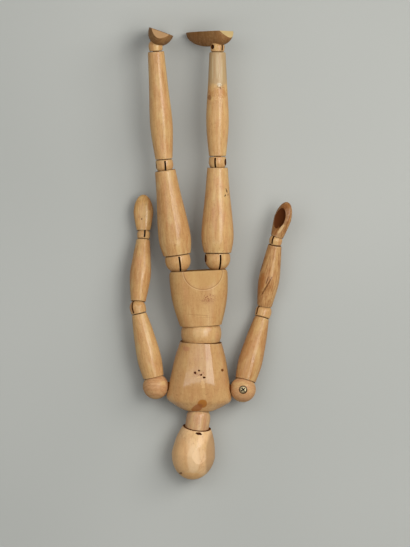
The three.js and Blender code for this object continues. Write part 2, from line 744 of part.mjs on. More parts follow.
// From the neck's round end at y = 0 to the crown.
function head() {
  const egg = loft([
    [-HEAD_RIM - EDGE, 2 * HEAD_RIM_RADIUS - EDGE, 2 * HEAD_RIM_RADIUS - EDGE, 0],
    [HEAD_CHEEK_AT / 4, HEAD_RIM_RADIUS + HEAD_CHEEK_WIDTH / 2, HEAD_RIM_RADIUS + HEAD_CHEEK_WIDTH / 2, 0],
    [HEAD_CHEEK_AT, HEAD_CHEEK_WIDTH, HEAD_CHEEK_WIDTH, 0],
    [HEAD_WIDEST_AT, HEAD_WIDTH, HEAD_DEPTH, 0],
    ...roundedEnd(HEAD_WIDEST_AT, HEAD_LENGTH, HEAD_WIDTH, HEAD_DEPTH),
  ], 8);
  const flat = new THREE.BoxGeometry(HEAD_WIDTH, 2 * HEAD_LENGTH, HEAD_DEPTH);
  flat.translate(0, 0, HEAD_DEPTH - HEAD_FLAT_DEPTH).rotateY(radians(HEAD_FLAT_TURN));
  const slant = new THREE.BoxGeometry(2 * HEAD_WIDTH, HEAD_WIDTH, 2 * HEAD_DEPTH);
  slant.translate(0, -HEAD_WIDTH / 2, 0).rotateX(radians(-HEAD_RIM_SLANT)).translate(0, -HEAD_RIM, 0);
  const collarRadius = socketRadius(NECK_RADIUS);
  const collar = new THREE.CylinderGeometry(collarRadius, collarRadius, NECK_LENGTH, TURNED_SIDES);
  collar.translate(0, -NECK_LENGTH / 2, 0);
  return cut(
    egg,
    flat,
    slant,
    ball(socketRadius(NECK_RADIUS)),
    collar,
    rod(springHole, 0, NECK_RADIUS + SPRING_SEAT / 2),
  );
}

// Places of the pieces. Each rigid body is a group that stands on its own joint.

const UP = new THREE.Vector3(0, 0, 1);
const RIGHT = new THREE.Vector3(1, 0, 0);
const FEET = new THREE.Vector3(0, 1, 0);
const figure = new THREE.Group();

function towardsFeet({ splay, rise }) {
  const level = Math.cos(radians(rise));
  const across = Math.sin(radians(splay)) * level;
  return new THREE.Vector3(across, Math.cos(radians(splay)) * level, Math.sin(radians(rise)));
}

const towardsHead = (tilt, rise) => towardsFeet({ splay: -tilt, rise }).negate();
const turnedUp = (angle) => UP.clone().multiplyScalar(Math.cos(radians(angle)))
  .addScaledVector(RIGHT, Math.sin(radians(angle)));

// A group whose Y axis is given and whose Z axis leans to a hint.
function bodyAt(name, origin, axisY, hintZ) {
  const y = axisY.clone().normalize();
  const z = hintZ.clone().addScaledVector(y, -hintZ.dot(y)).normalize();
  const x = y.clone().cross(z);
  const group = new THREE.Group();
  group.name = name;
  group.matrix.makeBasis(x, y, z).setPosition(origin);
  group.matrix.decompose(group.position, group.quaternion, group.scale);
  figure.add(group);
  return group;
}

function finish(color, roughness, metalness) {
  return () => new THREE.MeshStandardMaterial({ color, roughness, metalness });
}

const honeyWood = finish(0xc99a63, 0.4, 0);
const darkWood = finish(0x8a6238, 0.5, 0);
const steel = finish(0x6f6c66, 0.45, 1);
const brass = finish(0xb9a873, 0.35, 1);

function add(group, name, geometry, material) {
  const mesh = new THREE.Mesh(closed(geometry), material());
  mesh.geometry.computeVertexNormals();
  mesh.name = name;
  group.add(mesh);
  return mesh;
}

function pointIn(group, x, y, z) {
  group.updateMatrix();
  return new THREE.Vector3(x, y, z).applyMatrix4(group.matrix);
}

// A knuckle with its pin, and the strap that ties it to the limb it swings on.
// The strap lies in the slot, so it leans to that limb only within the slot's plane.
function addKnuckle(name, kind, knuckleGroup, limbGroup, limbDirection, wood, pinName, metal) {
  const size = knuckleSizes[kind];
  add(knuckleGroup, name, knuckle(size), wood);
  add(knuckleGroup, pinName, pin(size), metal);
  const x = new THREE.Vector3().setFromMatrixColumn(knuckleGroup.matrix, 0);
  const y = limbDirection.clone().addScaledVector(x, -limbDirection.dot(x)).normalize();
  const z = x.clone().cross(y);
  const place = new THREE.Matrix4().makeBasis(x, y, z).setPosition(knuckleGroup.position);
  limbGroup.updateMatrix();
  const local = limbGroup.matrix.clone().invert().multiply(place);
  const base = name.replace(/_(knuckle|ball)$/, '');
  return add(limbGroup, `${base}_strap`, strap(size).applyMatrix4(local), steel);
}

const origin = new THREE.Vector3();
const pelvisGroup = bodyAt('pelvis', origin, towardsHead(PELVIS_TILT, PELVIS_RISE), UP);
add(pelvisGroup, 'pelvis', pelvis(), honeyWood);

const waistAt = pointIn(pelvisGroup, 0, waistCentre, 0);
const waistTilt = (PELVIS_TILT + CHEST_TILT) / 2;
const waistRise = (PELVIS_RISE + CHEST_RISE) / 2;
const waistGroup = bodyAt('waist', waistAt, towardsHead(waistTilt, waistRise), UP);
add(waistGroup, 'waist', waist(), honeyWood);
const spineSpring = spring(SPRING_BORE - WOOD_GAP, 2 * (WAIST_BALL + SPRING_SEAT / 2));
add(waistGroup, 'spine_spring', spineSpring.translate(0, -WAIST_BALL - SPRING_SEAT / 2, 0), steel);

const chestGroup = bodyAt('chest', waistAt, towardsHead(CHEST_TILT, CHEST_RISE), UP);
const chestParts = chest();
add(chestGroup, 'chest', chestParts.geometry, honeyWood);
const shoulderSpringLength = 2 * (chestParts.pegEnd - WOOD_GAP);
const shoulderSpring = spring(SHOULDER_PEG_RADIUS, shoulderSpringLength);
shoulderSpring.translate(0, -shoulderSpringLength / 2, 0);
add(chestGroup, 'shoulder_spring', alongX(shoulderSpring).translate(0, shoulderUp, 0), steel);

const neckAt = pointIn(chestGroup, 0, neckCentre, 0);
const neckGroup = bodyAt('neck', neckAt, towardsHead(NECK_TILT, NECK_RISE), UP);
add(neckGroup, 'neck', neck(), honeyWood);
const neckReach = NECK_RADIUS + SPRING_SEAT / 4;
const neckSpring = spring(SPRING_BORE - WOOD_GAP, NECK_LENGTH + 2 * neckReach);
add(neckGroup, 'neck_spring', neckSpring.translate(0, -neckReach, 0), steel);

const headAt = pointIn(neckGroup, 0, NECK_LENGTH, 0);
const headGroup = bodyAt('head', headAt, towardsHead(HEAD_TILT, HEAD_RISE), UP);
add(headGroup, 'head', head(), honeyWood);

// Along the trunk's own X axis the figure's left, as it is seen here, is positive.
const sides = [
  {
    name: 'left', sign: 1, lie: LEFT_LIE, shinLength: LEFT_SHIN_LENGTH,
    shoulder: 'shoulder', shoulderPin: 'left_shoulder_pin', metal: steel,
  },
  {
    name: 'right', sign: -1, lie: RIGHT_LIE, shinLength: RIGHT_SHIN_LENGTH,
    shoulder: 'screwedShoulder', shoulderPin: 'right_shoulder_screw', metal: brass,
  },
];

for (const { name, sign, lie, shinLength, shoulder, shoulderPin, metal } of sides) {
  // Leg
  const thighWay = towardsFeet(lie.thigh);
  const shinWay = towardsFeet(lie.shin);
  const hipAt = pointIn(pelvisGroup, sign * HIP_SPACING / 2, 0, 0);
  const hip = bodyAt(`${name}_hip`, hipAt, thighWay.clone().negate(), turnedUp(lie.hipSlot));
  const pelvisWay = new THREE.Vector3().setFromMatrixColumn(pelvisGroup.matrix, 1);
  addKnuckle(`${name}_hip_knuckle`, 'hip', hip, pelvisGroup, pelvisWay, honeyWood, `${name}_hip_pin`, steel);
  const hipSpring = spring(HIP_EYE + STRAP_PLAY / 2, LIMB_SPRING_LENGTH);
  hipSpring.translate(sign * HIP_SPACING / 2, HIP_STRAP_LENGTH + WOOD_GAP, 0);
  add(pelvisGroup, `${name}_hip_spring`, hipSpring, steel);

  const thighGroup = bodyAt(`${name}_thigh`, hipAt, thighWay, UP);
  add(thighGroup, `${name}_thigh`, thigh(), honeyWood);
  const kneeAt = pointIn(thighGroup, 0, THIGH_LENGTH, 0);
  const knee = bodyAt(`${name}_knee`, kneeAt, shinWay.clone().negate(), turnedUp(lie.kneeSlot));
  const hipWay = thighWay.clone().negate();
  addKnuckle(`${name}_knee_knuckle`, 'knee', knee, thighGroup, hipWay, honeyWood, `${name}_knee_pin`, steel);
  const kneeSpring = spring(KNEE_EYE + STRAP_PLAY / 2, LIMB_SPRING_LENGTH);
  kneeSpring.translate(0, THIGH_LENGTH - KNEE_STRAP_LENGTH - WOOD_GAP - LIMB_SPRING_LENGTH, 0);
  add(thighGroup, `${name}_knee_spring`, kneeSpring, steel);

  const shinGroup = bodyAt(`${name}_shin`, kneeAt, shinWay, UP);
  add(shinGroup, `${name}_shin`, shin(shinLength), honeyWood);
  const ankleAt = pointIn(shinGroup, 0, shinLength, 0);
  const ankle = bodyAt(`${name}_ankle`, ankleAt, shinWay, turnedUp(lie.ankleSlot));
  const footWay = towardsFeet(lie.foot);
  const footGroup = bodyAt(`${name}_foot`, ankleAt, footWay, turnedUp(lie.toeTurn));
  add(footGroup, `${name}_foot`, foot(), darkWood);
  addKnuckle(`${name}_ankle_knuckle`, 'ankle', ankle, footGroup, footWay, honeyWood, `${name}_ankle_pin`, steel);

  // Arm
  const armWay = towardsFeet(lie.upperArm);
  const forearmWay = towardsFeet(lie.forearm);
  const outwards = new THREE.Vector3().setFromMatrixColumn(chestGroup.matrix, 0).multiplyScalar(sign);
  const shoulderAt = pointIn(chestGroup, sign * shoulderOut, shoulderUp, 0);
  const shoulderGroup = bodyAt(`${name}_shoulder`, shoulderAt, outwards, FEET);
  const armGroup = bodyAt(`${name}_upper_arm`, shoulderAt, armWay, UP);
  add(armGroup, `${name}_upper_arm`, upperArm(), honeyWood);
  addKnuckle(`${name}_shoulder_ball`, shoulder, shoulderGroup, armGroup, armWay, honeyWood, shoulderPin, metal);

  const elbowAt = pointIn(armGroup, 0, UPPER_ARM_LENGTH, 0);
  const elbow = bodyAt(`${name}_elbow`, elbowAt, armWay, turnedUp(lie.elbowSlot));
  const forearmGroup = bodyAt(`${name}_forearm`, elbowAt, forearmWay, UP);
  add(forearmGroup, `${name}_forearm`, forearm(), honeyWood);
  addKnuckle(
    `${name}_elbow_knuckle`, 'elbow', elbow, forearmGroup, forearmWay, honeyWood, `${name}_elbow_pin`, steel,
  );

  const wristAt = pointIn(forearmGroup, 0, FOREARM_LENGTH, 0);
  const wrist = bodyAt(`${name}_wrist`, wristAt, forearmWay, turnedUp(lie.wristSlot));
  const handWay = towardsFeet(lie.hand);
  const handGroup = bodyAt(`${name}_hand`, wristAt, handWay, turnedUp(lie.palmTurn));
  add(handGroup, `${name}_hand`, hand(), honeyWood);
  addKnuckle(`${name}_wrist_knuckle`, 'wrist', wrist, handGroup, handWay, honeyWood, `${name}_wrist_pin`, steel);
}

// The figure lies on the plane z = 0 with the middle of its outline over the origin.
const extent = new THREE.Box3().setFromObject(figure, true);
const middle = extent.getCenter(new THREE.Vector3());
figure.position.set(-middle.x, -middle.y, -extent.min.z);

export default figure;
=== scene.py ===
# %% [markdown]
# A jointed wooden drawing figure
#
# An artist's lay figure is a small person of turned wood. Its limbs meet at slotted balls, a steel
# pin crosses each slot, and a flat strap in the slot ties the next limb on. This notebook dresses
# the imported figure for a picture: every wooden piece is turned again with a finer skin, gets its
# varnish, grain, dirt and chips, with some painted light and shade, and is tied to the body that it
# moves with.

# %% Load the imported figure
import json
import math

import bpy
import numpy as np
from mathutils import Matrix, Vector


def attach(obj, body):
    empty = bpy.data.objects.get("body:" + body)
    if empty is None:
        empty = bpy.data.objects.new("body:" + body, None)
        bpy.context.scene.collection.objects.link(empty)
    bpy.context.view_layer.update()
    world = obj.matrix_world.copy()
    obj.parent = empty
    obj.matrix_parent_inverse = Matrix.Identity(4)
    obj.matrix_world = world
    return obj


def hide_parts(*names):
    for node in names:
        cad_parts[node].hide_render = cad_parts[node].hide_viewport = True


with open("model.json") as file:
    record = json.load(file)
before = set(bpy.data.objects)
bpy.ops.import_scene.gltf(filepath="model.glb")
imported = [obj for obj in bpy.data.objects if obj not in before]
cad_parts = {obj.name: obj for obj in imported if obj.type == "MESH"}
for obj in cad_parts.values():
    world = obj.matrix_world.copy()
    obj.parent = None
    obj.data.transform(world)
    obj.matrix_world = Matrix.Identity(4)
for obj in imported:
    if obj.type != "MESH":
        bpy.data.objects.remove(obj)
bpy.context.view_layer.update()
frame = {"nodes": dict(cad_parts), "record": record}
MM = 0.001
UP = Vector((0, 0, 1))
SIDES = ("left", "right")

# %% [markdown]
# Where everything is
#
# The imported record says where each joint's centre and axis are. The places could be typed in again,
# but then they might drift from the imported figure, so they are read. A piece gets a local frame: its
# Y axis runs along the limb and its Z axis leans to a chosen side. Every shape below is drawn in
# millimetres in such a frame and then set in place.

# %% Joint centres and local frames
joint_at = {}
joint_axis = {}
for joint in frame["record"]["behaviour"]["joints"]:
    joint_at[joint["name"]] = Vector(joint["pos_m"])
    joint_axis[joint["name"]] = Vector(joint["axis"]).normalized()
sole = {mount["name"]: mount for mount in frame["record"]["mounts"]}


def frame_at(origin, along, lean):
    """A matrix with Y along the piece and Z leaning to a hint."""
    y = along.normalized()
    z = (lean - y * lean.dot(y)).normalized()
    x = y.cross(z)
    return Matrix.Translation(origin) @ Matrix((x, y, z)).transposed().to_4x4()


def between(start, end):
    return joint_at[end] - joint_at[start]


hip_middle = (joint_at["left_hip_swing"] + joint_at["right_hip_swing"]) / 2
waist_at = joint_at["waist_bend"]
pelvis_way = (waist_at - hip_middle).normalized()
chest_way = -joint_axis["chest_turn"]
head_way = -joint_axis["head_turn"]
neck_way = between("neck_nod", "head_turn")
place = {
    "pelvis": frame_at(hip_middle, pelvis_way, UP),
    "waist": frame_at(waist_at, pelvis_way + chest_way, UP),
    "chest": frame_at(waist_at, chest_way, UP),
    "neck": frame_at(joint_at["neck_nod"], neck_way, UP),
    "head": frame_at(joint_at["head_turn"], head_way, UP),
}
print("waist at", [round(c / MM, 1) for c in waist_at], "mm")

# %% [markdown]
# Camera
#
# The picture was taken from straight above, with the feet at the top. A short lens close by would
# make the limbs bulge, so a long one stands far off. Its opening angle follows from how many
# millimetres one pixel of the 410 by 547 picture covers at the height of the limbs.

# %% Set the camera above the figure
PICTURE_WIDTH = 410
PICTURE_HEIGHT = 547
CAMERA_HEIGHT = 2400
LIMB_HEIGHT = 20
MM_PER_PIXEL = 0.6694
CAMERA_OVER = (-3.9, -13.4)

camera_data = bpy.data.cameras.new("camera")
camera = bpy.data.objects.new("camera", camera_data)
bpy.context.scene.collection.objects.link(camera)
bpy.context.scene.camera = camera
camera.location = Vector((*CAMERA_OVER, CAMERA_HEIGHT)) * MM
half_height = PICTURE_HEIGHT / 2 * MM_PER_PIXEL
camera_data.sensor_fit = "VERTICAL"
camera_data.angle = 2 * math.atan(half_height / (CAMERA_HEIGHT - LIMB_HEIGHT))
camera_data.clip_start = 0.01


def at_pixel(px, py, height):
    """The point of the figure under a pixel of the picture, at a height in millimetres."""
    spread = MM_PER_PIXEL * (CAMERA_HEIGHT - height) / (CAMERA_HEIGHT - LIMB_HEIGHT)
    x = CAMERA_OVER[0] + (px - PICTURE_WIDTH / 2) * spread
    y = CAMERA_OVER[1] - (py - PICTURE_HEIGHT / 2) * spread
    return Vector((x, y, height)) * MM


print("opening angle", round(math.degrees(camera_data.angle), 1))

# %% [markdown]
# Floor and light
#
# A plain pale grey table under even light. One large lamp would do for the table, but the varnish
# mirrors its light, so two windows overhead give the broad shine its straight edges. The left one is
# in four panes: the first three dim from the head end on and the last is brighter again. The right
# window is the brightest. A soft lamp at the right rounds the limbs and throws their shadows to the
# left, and a dim sky fills the rest. Together they light a flat surface at about the level at which
# a colour renders as it is written.

# %% Build the stage
def srgb(red, green, blue):
    """A colour as it is seen on a screen, turned into the linear numbers that shaders use."""
    parts = [c / 255 for c in (red, green, blue)]
    linear = [c / 12.92 if c <= 0.04045 else ((c + 0.055) / 1.055) ** 2.4 for c in parts]
    return (*linear, 1.0)


FLOOR_COLOUR = srgb(184, 185, 180)
SKY_STRENGTH = 0.19
SKY_COLOUR = (0.97, 0.985, 1.0, 1.0)

scene = bpy.context.scene
scene.view_settings.view_transform = "Standard"
world = bpy.data.worlds.new("dim sky")
scene.world = world
world.use_nodes = True
sky = world.node_tree.nodes["Background"]
sky.inputs["Color"].default_value = SKY_COLOUR
sky.inputs["Strength"].default_value = SKY_STRENGTH


def soft_light(name, at, aim, size, power, colour):
    """A rectangular lamp that looks from one point to another, in metres."""
    data = bpy.data.lights.new(name, "AREA")
    data.shape = "RECTANGLE"
    data.size, data.size_y = size
    data.energy = power
    data.color = colour
    light = bpy.data.objects.new(name, data)
    scene.collection.objects.link(light)
    light.location = at
    light.rotation_euler = (Vector(aim) - Vector(at)).to_track_quat("-Z", "Y").to_euler()


print("stage lit by a dim sky of", SKY_STRENGTH)

# %% Hang the windows and the lamp
WINDOW_HEIGHT = 1.2


def pane(name, left, right, low, high, power, colour):
    """A level pane overhead, given by its four sides, that looks straight down."""
    x, y = (left + right) / 2, (low + high) / 2
    soft_light(name, (x, y, WINDOW_HEIGHT), (x, y, 0.0), (right - left, high - low), power, colour)


COOL = (0.98, 0.99, 1.0)
PALE = (1.0, 0.99, 0.98)
WARM = (1.0, 0.985, 0.955)
pane("window, first pane", -0.95, 0.25, -0.43, -0.36, 0.6, COOL)
pane("window, second pane", -0.95, 0.25, -0.36, -0.24, 0.7, COOL)
pane("window, third pane", -0.95, 0.25, -0.24, 0.05, 0.6, COOL)
pane("window, last pane", -1.1, 0.1, 0.05, 0.75, 4.4, COOL)
pane("bright window", 0.245, 0.855, -0.435, 0.295, 5.3, PALE)
soft_light("lamp", (0.7, 0.4, 1.0), (0.0, 0.0, 0.0), (0.6, 1.1), 9.0, WARM)
print("lights", len(bpy.data.lights))

# %% [markdown]
# Writing shaders as sums
#
# A wooden finish is a recipe: so much grain, so much dirt, darker here, rougher there. Writing that
# node by node hides the recipe. The small class below wraps a socket, so that `1 - mask` or
# `rings * 0.3 + streaks` adds the nodes by itself, and one method makes any other node.

# %% A socket that can be used in sums
class Wire:
    """A socket of a shader tree that understands sums."""

    def __init__(self, tree, socket=None):
        self.tree = tree
        self.socket = socket

    def make(self, kind, inputs, out=0, **settings):
        """Adds a node, sets it up, feeds its sockets and returns one of its outputs."""
        node = self.tree.nodes.new(kind)
        for key, value in settings.items():
            setattr(node, key, value)
        for key, value in inputs.items():
            if isinstance(value, Wire):
                self.tree.links.new(value.socket, node.inputs[key])
            else:
                node.inputs[key].default_value = value
        return Wire(self.tree, node.outputs[out])

    def math(self, operation, *values, **settings):
        return self.make("ShaderNodeMath", dict(enumerate(values)), operation=operation, **settings)

    def vector(self, operation, *values, out=0):
        return self.make("ShaderNodeVectorMath", dict(enumerate(values)), out=out, operation=operation)

    def __add__(self, other):
        return self.math("ADD", self, other)

    def __sub__(self, other):
        return self.math("SUBTRACT", self, other)

    def __rsub__(self, other):
        return self.math("SUBTRACT", other, self)

    def __mul__(self, other):
        return self.math("MULTIPLY", self, other)

    __radd__ = __add__
    __rmul__ = __mul__

    def clamped(self):
        return self.math("ADD", self, 0.0, use_clamp=True)

    def between(self, low, high):
        """A soft step from 0 at low to 1 at high."""
        ends = {"Value": self, "From Min": low, "From Max": high}
        return self.make("ShaderNodeMapRange", ends, interpolation_type="SMOOTHSTEP")

    def mixed(self, first, second):
        """The first colour where this is 0, the second where it is 1."""
        ends = {0: self, 6: first, 7: second}
        return self.make("ShaderNodeMix", ends, out=2, data_type="RGBA")

    def noise(self, scale, detail=2.0, rough=0.5):
        ends = {"Vector": self, "Scale": scale, "Detail": detail, "Roughness": rough}
        return self.make("ShaderNodeTexNoise", ends)

print("sums ready")

# %% Start a material and feed its shader
def new_material(name):
    """An empty material, its shader node and a wire to start from."""
    material = bpy.data.materials.new(name)
    material.use_nodes = True
    tree = material.node_tree
    shader = tree.nodes["Principled BSDF"]
    return material, shader, Wire(tree)


def plug(shader, **ends):
    """Feeds the shader's sockets: wires are linked, numbers and colours are set."""
    for key, value in ends.items():
        socket = shader.inputs[key.replace("_", " ")]
        if isinstance(value, Wire):
            value.tree.links.new(value.socket, socket)
        else:
            socket.default_value = value


print("shader helpers ready")

# %% [markdown]
# Table top
#
# The table is a smooth sheet with hardly any texture. A bent backdrop isn't needed, because the
# camera looks straight down, so one flat square with a faint cloudiness is enough.

# %% Lay the table
TABLE_HALF = 2.5
FLOOR_CLOUD = srgb(167, 169, 164)
table_mesh = bpy.data.meshes.new("table")
corners = [(-TABLE_HALF, -TABLE_HALF, 0), (TABLE_HALF, -TABLE_HALF, 0)]
corners += [(TABLE_HALF, TABLE_HALF, 0), (-TABLE_HALF, TABLE_HALF, 0)]
table_mesh.from_pydata(corners, [], [(0, 1, 2, 3)])
table = bpy.data.objects.new("table", table_mesh)
scene.collection.objects.link(table)
table_paint, shader, start = new_material("grey table")
where = start.make("ShaderNodeTexCoord", {}, out="Object")
cloud = where.noise(5.0, 1.0)
plug(
    shader,
    Base_Color=cloud.mixed(FLOOR_COLOUR, FLOOR_CLOUD),
    Roughness=0.75,
    Specular_IOR_Level=0.2,
)
table_mesh.materials.append(table_paint)
print("table laid")

# %% [markdown]
# Varnished wood
#
# The figure is turned from a pale close-grained wood and varnished to a honey colour. Fine streaks
# run along the grain, faint growth rings come and go, and the colour drifts between straw and rose
# where the varnish took up unevenly. A picture of wood could be laid on, but it would stretch and
# repeat, so all of it is drawn by rule in the piece's own frame. That frame is stored on the mesh as
# an attribute called grain, so the grain follows each limb. A second attribute, ends, says at which
# heights a piece ends, where a thin seam is painted dark, as dirt and as painted shade in the gap
# between pieces, and the edge beside it is rubbed pale. A third, inside, is 1 on sawn and drilled
# faces, which are painted dark, as dirt and as painted shade in slots, bores and sockets, or are left
# bare. Marks are single stains, chips and cracks, and a few spots and lines of painted light and
# shade, each with a place, a size, a turn and a colour.

# %% Colours of the wood
HONEY = srgb(207, 164, 109)
AMBER = srgb(174, 123, 74)
STRAW = srgb(214, 182, 124)
ROSE = srgb(200, 143, 99)
UMBER = srgb(139, 90, 47)
GRIME_AND_SHADE = srgb(84, 40, 8)
BARE = srgb(204, 182, 138)
CHIP = srgb(58, 26, 12)
print("wood colours ready")

# %% A mark on the skin
class Mark:
    """A stain, chip or crack, or a spot or line of painted light or shade: an oval spot on the skin, whole,
    in specks or only its outline.
    """

    def __init__(
        self, at, size, colour, strength=1.0, ragged=0.6, grit=900.0,
        dent=0.0, turn=0.0, specks=0.0, line=0.0,
    ):
        self.at = at
        self.size = size
        self.colour = colour
        self.strength = strength
        self.ragged = ragged
        self.grit = grit
        self.dent = dent
        self.turn = turn
        self.specks = specks
        self.line = line

    def mask(self, where):
        away = where.vector("SUBTRACT", where, tuple(self.at))
        turning = {"Vector": away, "Angle": math.radians(self.turn)}
        away = where.make("ShaderNodeVectorRotate", turning, rotation_type="Z_AXIS")
        away = away.vector("DIVIDE", away, tuple(s * MM for s in self.size))
        reach = away.vector("LENGTH", away, out="Value")
        grit = where.noise(self.grit, 3.0)
        spot = (reach + (grit - 0.5) * (2 * self.ragged)).between(1.0, 0.72)
        if self.specks:
            spot = reach.between(1.0, 0.3) * grit.between(self.specks, self.specks + 0.05)
        if self.line:
            spot = where.math("ABSOLUTE", reach - 1.0).between(self.line, 0.0)
        return spot * self.strength


print("marks ready")

# %% Seams, rings and streaks of the wood
RING_SPACING = 2.1
RING_SWAY = 16.0
HEART_OFF = (0.011, 0.0, 0.019)
ALONG_Y = {"streaks": (1.0, 0.07, 1.0), "rings": (1.0, 0.03, 1.0), "patches": (1.0, 0.3, 1.0)}


def attribute(start, name, out="Vector"):
    return start.make("ShaderNodeAttribute", {}, out=out, attribute_name=name)


def drawn_out(grain, pattern):
    """The grain frame squeezed along the limb, so that a pattern in it is drawn out."""
    return grain.vector("MULTIPLY", grain, ALONG_Y[pattern])


def nearness_to_ends(start, grain):
    """1 at an end of the piece, fading away within the width that the piece asks for."""
    ends = attribute(start, "ends")
    first, last, width = (start.make("ShaderNodeSeparateXYZ", {0: ends}, out=axis) for axis in "XYZ")
    level = start.make("ShaderNodeSeparateXYZ", {0: grain}, out="Y")
    to_first = start.math("ABSOLUTE", level - first)
    to_last = start.math("ABSOLUTE", level - last)
    away_in_widths = start.math("DIVIDE", start.math("MINIMUM", to_first, to_last), width)
    return start.math("EXPONENT", away_in_widths * -1.0)


def growth_rings(grain):
    """Faint rings round the heart of the tree, which lies outside the middle of the piece."""
    sway = drawn_out(grain, "streaks").noise(150.0, 3.0)
    flat = drawn_out(grain, "rings")
    off_centre = flat.vector("ADD", flat, HEART_OFF)
    radius = off_centre.vector("LENGTH", off_centre, out="Value")
    turns = radius * (2 * math.pi / (RING_SPACING * MM)) + sway * RING_SWAY
    fading = grain.noise(70.0, 2.0).between(0.35, 0.65)
    return (turns.math("SINE", turns) * 0.5 + 0.5).between(0.3, 1.0) * fading


print("rings every", RING_SPACING, "mm")

# %% Mix the varnished wood
BUMP_DEPTH = 0.15
VARNISH_IOR = 1.7
INSIDE_COVER = 0.97


def wood(
    name, pale=HONEY, deep=AMBER, gloss=0.4, coat=0.3, haze=0.16, marks=(),
    ring_weight=0.25, streak_weight=0.42, patches=0.9, inside_colour=GRIME_AND_SHADE,
):
    """A varnished wood with its own marks."""
    material, shader, start = new_material(name)
    where = start.make("ShaderNodeTexCoord", {}, out="Object")
    grain = attribute(start, "grain")
    tone = attribute(start, "tone", "Fac")
    inside = attribute(start, "inside", "Fac")
    rim = nearness_to_ends(start, grain)
    rings = growth_rings(grain)
    fibres = drawn_out(grain, "streaks")
    streaks = fibres.noise(1300.0, 4.0, 0.62).between(0.34, 0.7)
    pores = fibres.noise(5200.0, 1.0).between(0.60, 0.74)
    patchy = drawn_out(grain, "patches")
    blotches = patchy.noise(130.0, 4.0, 0.6).between(0.36, 0.66)

    depth = (rings * ring_weight + streaks * streak_weight + blotches * 0.28 + tone).clamped()
    colour = depth.mixed(pale, deep)
    colour = (patchy.noise(210.0, 4.0).between(0.47, 0.66) * (0.5 * patches)).mixed(colour, STRAW)
    colour = (patchy.noise(260.0, 4.0).between(0.5, 0.7) * (0.4 * patches)).mixed(colour, ROSE)
    colour = (pores * streaks * 0.3).mixed(colour, UMBER)
    smudge = where.noise(420.0, 3.0).between(0.3, 0.7)
    colour = (rim.between(0.05, 0.5) * smudge * 0.35).mixed(colour, BARE)
    # The seam is a thin dark band at each end, painted both as dirt and as shade in the gap between pieces.
    seam_dirt_and_shade = rim.between(0.45, 0.95) * (0.45 + smudge * 0.5)
    colour = seam_dirt_and_shade.mixed(colour, GRIME_AND_SHADE)
    scuffs = where.noise(300.0, 5.0, 0.72).between(0.62, 0.74)
    colour = (scuffs * 0.4).mixed(colour, UMBER)
    mottle = where.noise(620.0, 4.0, 0.7)
    colour = (mottle.between(0.53, 0.74) * 0.34).mixed(colour, UMBER)
    colour = (mottle.between(0.47, 0.26) * 0.25).mixed(colour, STRAW)
    height = streaks * 0.25 - pores * 0.5 - scuffs * 0.4
    # Faces inside slots, bores and sockets take the inside colour; the dark one is dirt and painted shade.
    colour = (inside * INSIDE_COVER).mixed(colour, inside_colour)
    dry = seam_dirt_and_shade + inside
    for mark in marks:
        spot = mark.mask(where).clamped()
        colour = spot.mixed(colour, mark.colour)
        dry = dry + spot * mark.dent
        height = height - spot * mark.dent
    dry = dry.clamped()
    worn = scuffs * 0.16 + blotches * 0.08 + dry * 0.5
    bump = {"Height": height, "Strength": 0.35, "Distance": BUMP_DEPTH * MM}
    plug(
        shader,
        Base_Color=colour,
        Roughness=(worn + gloss).clamped(),
        Normal=start.make("ShaderNodeBump", bump),
        Specular_IOR_Level=0.0,
        Coat_Weight=(1.0 - dry) * coat,
        Coat_Roughness=haze,
        Coat_IOR=VARNISH_IOR,
    )
    return material


limb_wood = wood("honey wood")
print("first wood mixed")

# %% [markdown]
# Metal
#
# The pins and straps are plain steel gone dull and brown with age, and one shoulder has a newer
# screw of pale brass. One flat colour would look like plastic, so both are metals with a cloudy
# tarnish that dulls the shine in patches. The straps keep their plain shape and only get the finish.

# %% Mix the metals
def metal(name, clean, stained, rough, cloud_scale):
    material, shader, start = new_material(name)
    where = start.make("ShaderNodeTexCoord", {}, out="Object")
    tarnish = where.noise(cloud_scale, 4.0, 0.65).between(0.35, 0.7)
    scratches = where.noise(cloud_scale * 6, 2.0).between(0.55, 0.75)
    bump = {"Height": scratches, "Strength": 0.2, "Distance": 0.05 * MM}
    plug(
        shader,
        Base_Color=tarnish.mixed(clean, stained),
        Roughness=tarnish * 0.3 + scratches * 0.1 + rough,
        Metallic=1.0 - tarnish * 0.25,
        Normal=start.make("ShaderNodeBump", bump),
    )
    return material


old_steel = metal("old steel", srgb(92, 84, 76), srgb(48, 38, 30), 0.4, 900.0)
pale_brass = metal("pale brass", srgb(214, 200, 160), srgb(150, 130, 92), 0.34, 700.0)
cross_dirt = metal("dirt in the cross", srgb(58, 48, 34), srgb(40, 30, 20), 0.7, 700.0)
for name in frame["nodes"]:
    if name.endswith("_strap"):
        frame["nodes"][name].data.materials.clear()
        frame["nodes"][name].data.materials.append(old_steel)
print("metals mixed")

# %% [markdown]
# Turning and lofting
#
# Limbs, balls and the neck are turned on a lathe, so each is an outline spun round an axis. Chest,
# pelvis, head, hands and feet are carved, so each is a skin stretched over oval rings. All could be
# sculpted by hand, but a few sizes and a smooth curve through them, like the turner's template, are
# exact and easy to change.

# %% Draw outlines
EDGE = 0.6
RIM_ACROSS = 0.5
RIM_ALONG = 0.9


def smooth_through(points, steps):
    """Points of a smooth curve through the given ones, evenly spread between them."""
    points = np.array(points, dtype=float)
    last = len(points) - 1
    at = np.linspace(0, last, steps + 1)
    first = np.minimum(at.astype(int), last - 1)
    t = (at - first)[:, None]
    before, a = points[np.maximum(first - 1, 0)], points[first]
    b, after = points[first + 1], points[np.minimum(first + 2, last)]
    slope_a, slope_b = (b - before) / 2, (after - a) / 2
    cubic = 2 * a - 2 * b + slope_a + slope_b
    square = -3 * a + 3 * b - 2 * slope_a - slope_b
    return cubic * t**3 + square * t**2 + slope_a * t + a


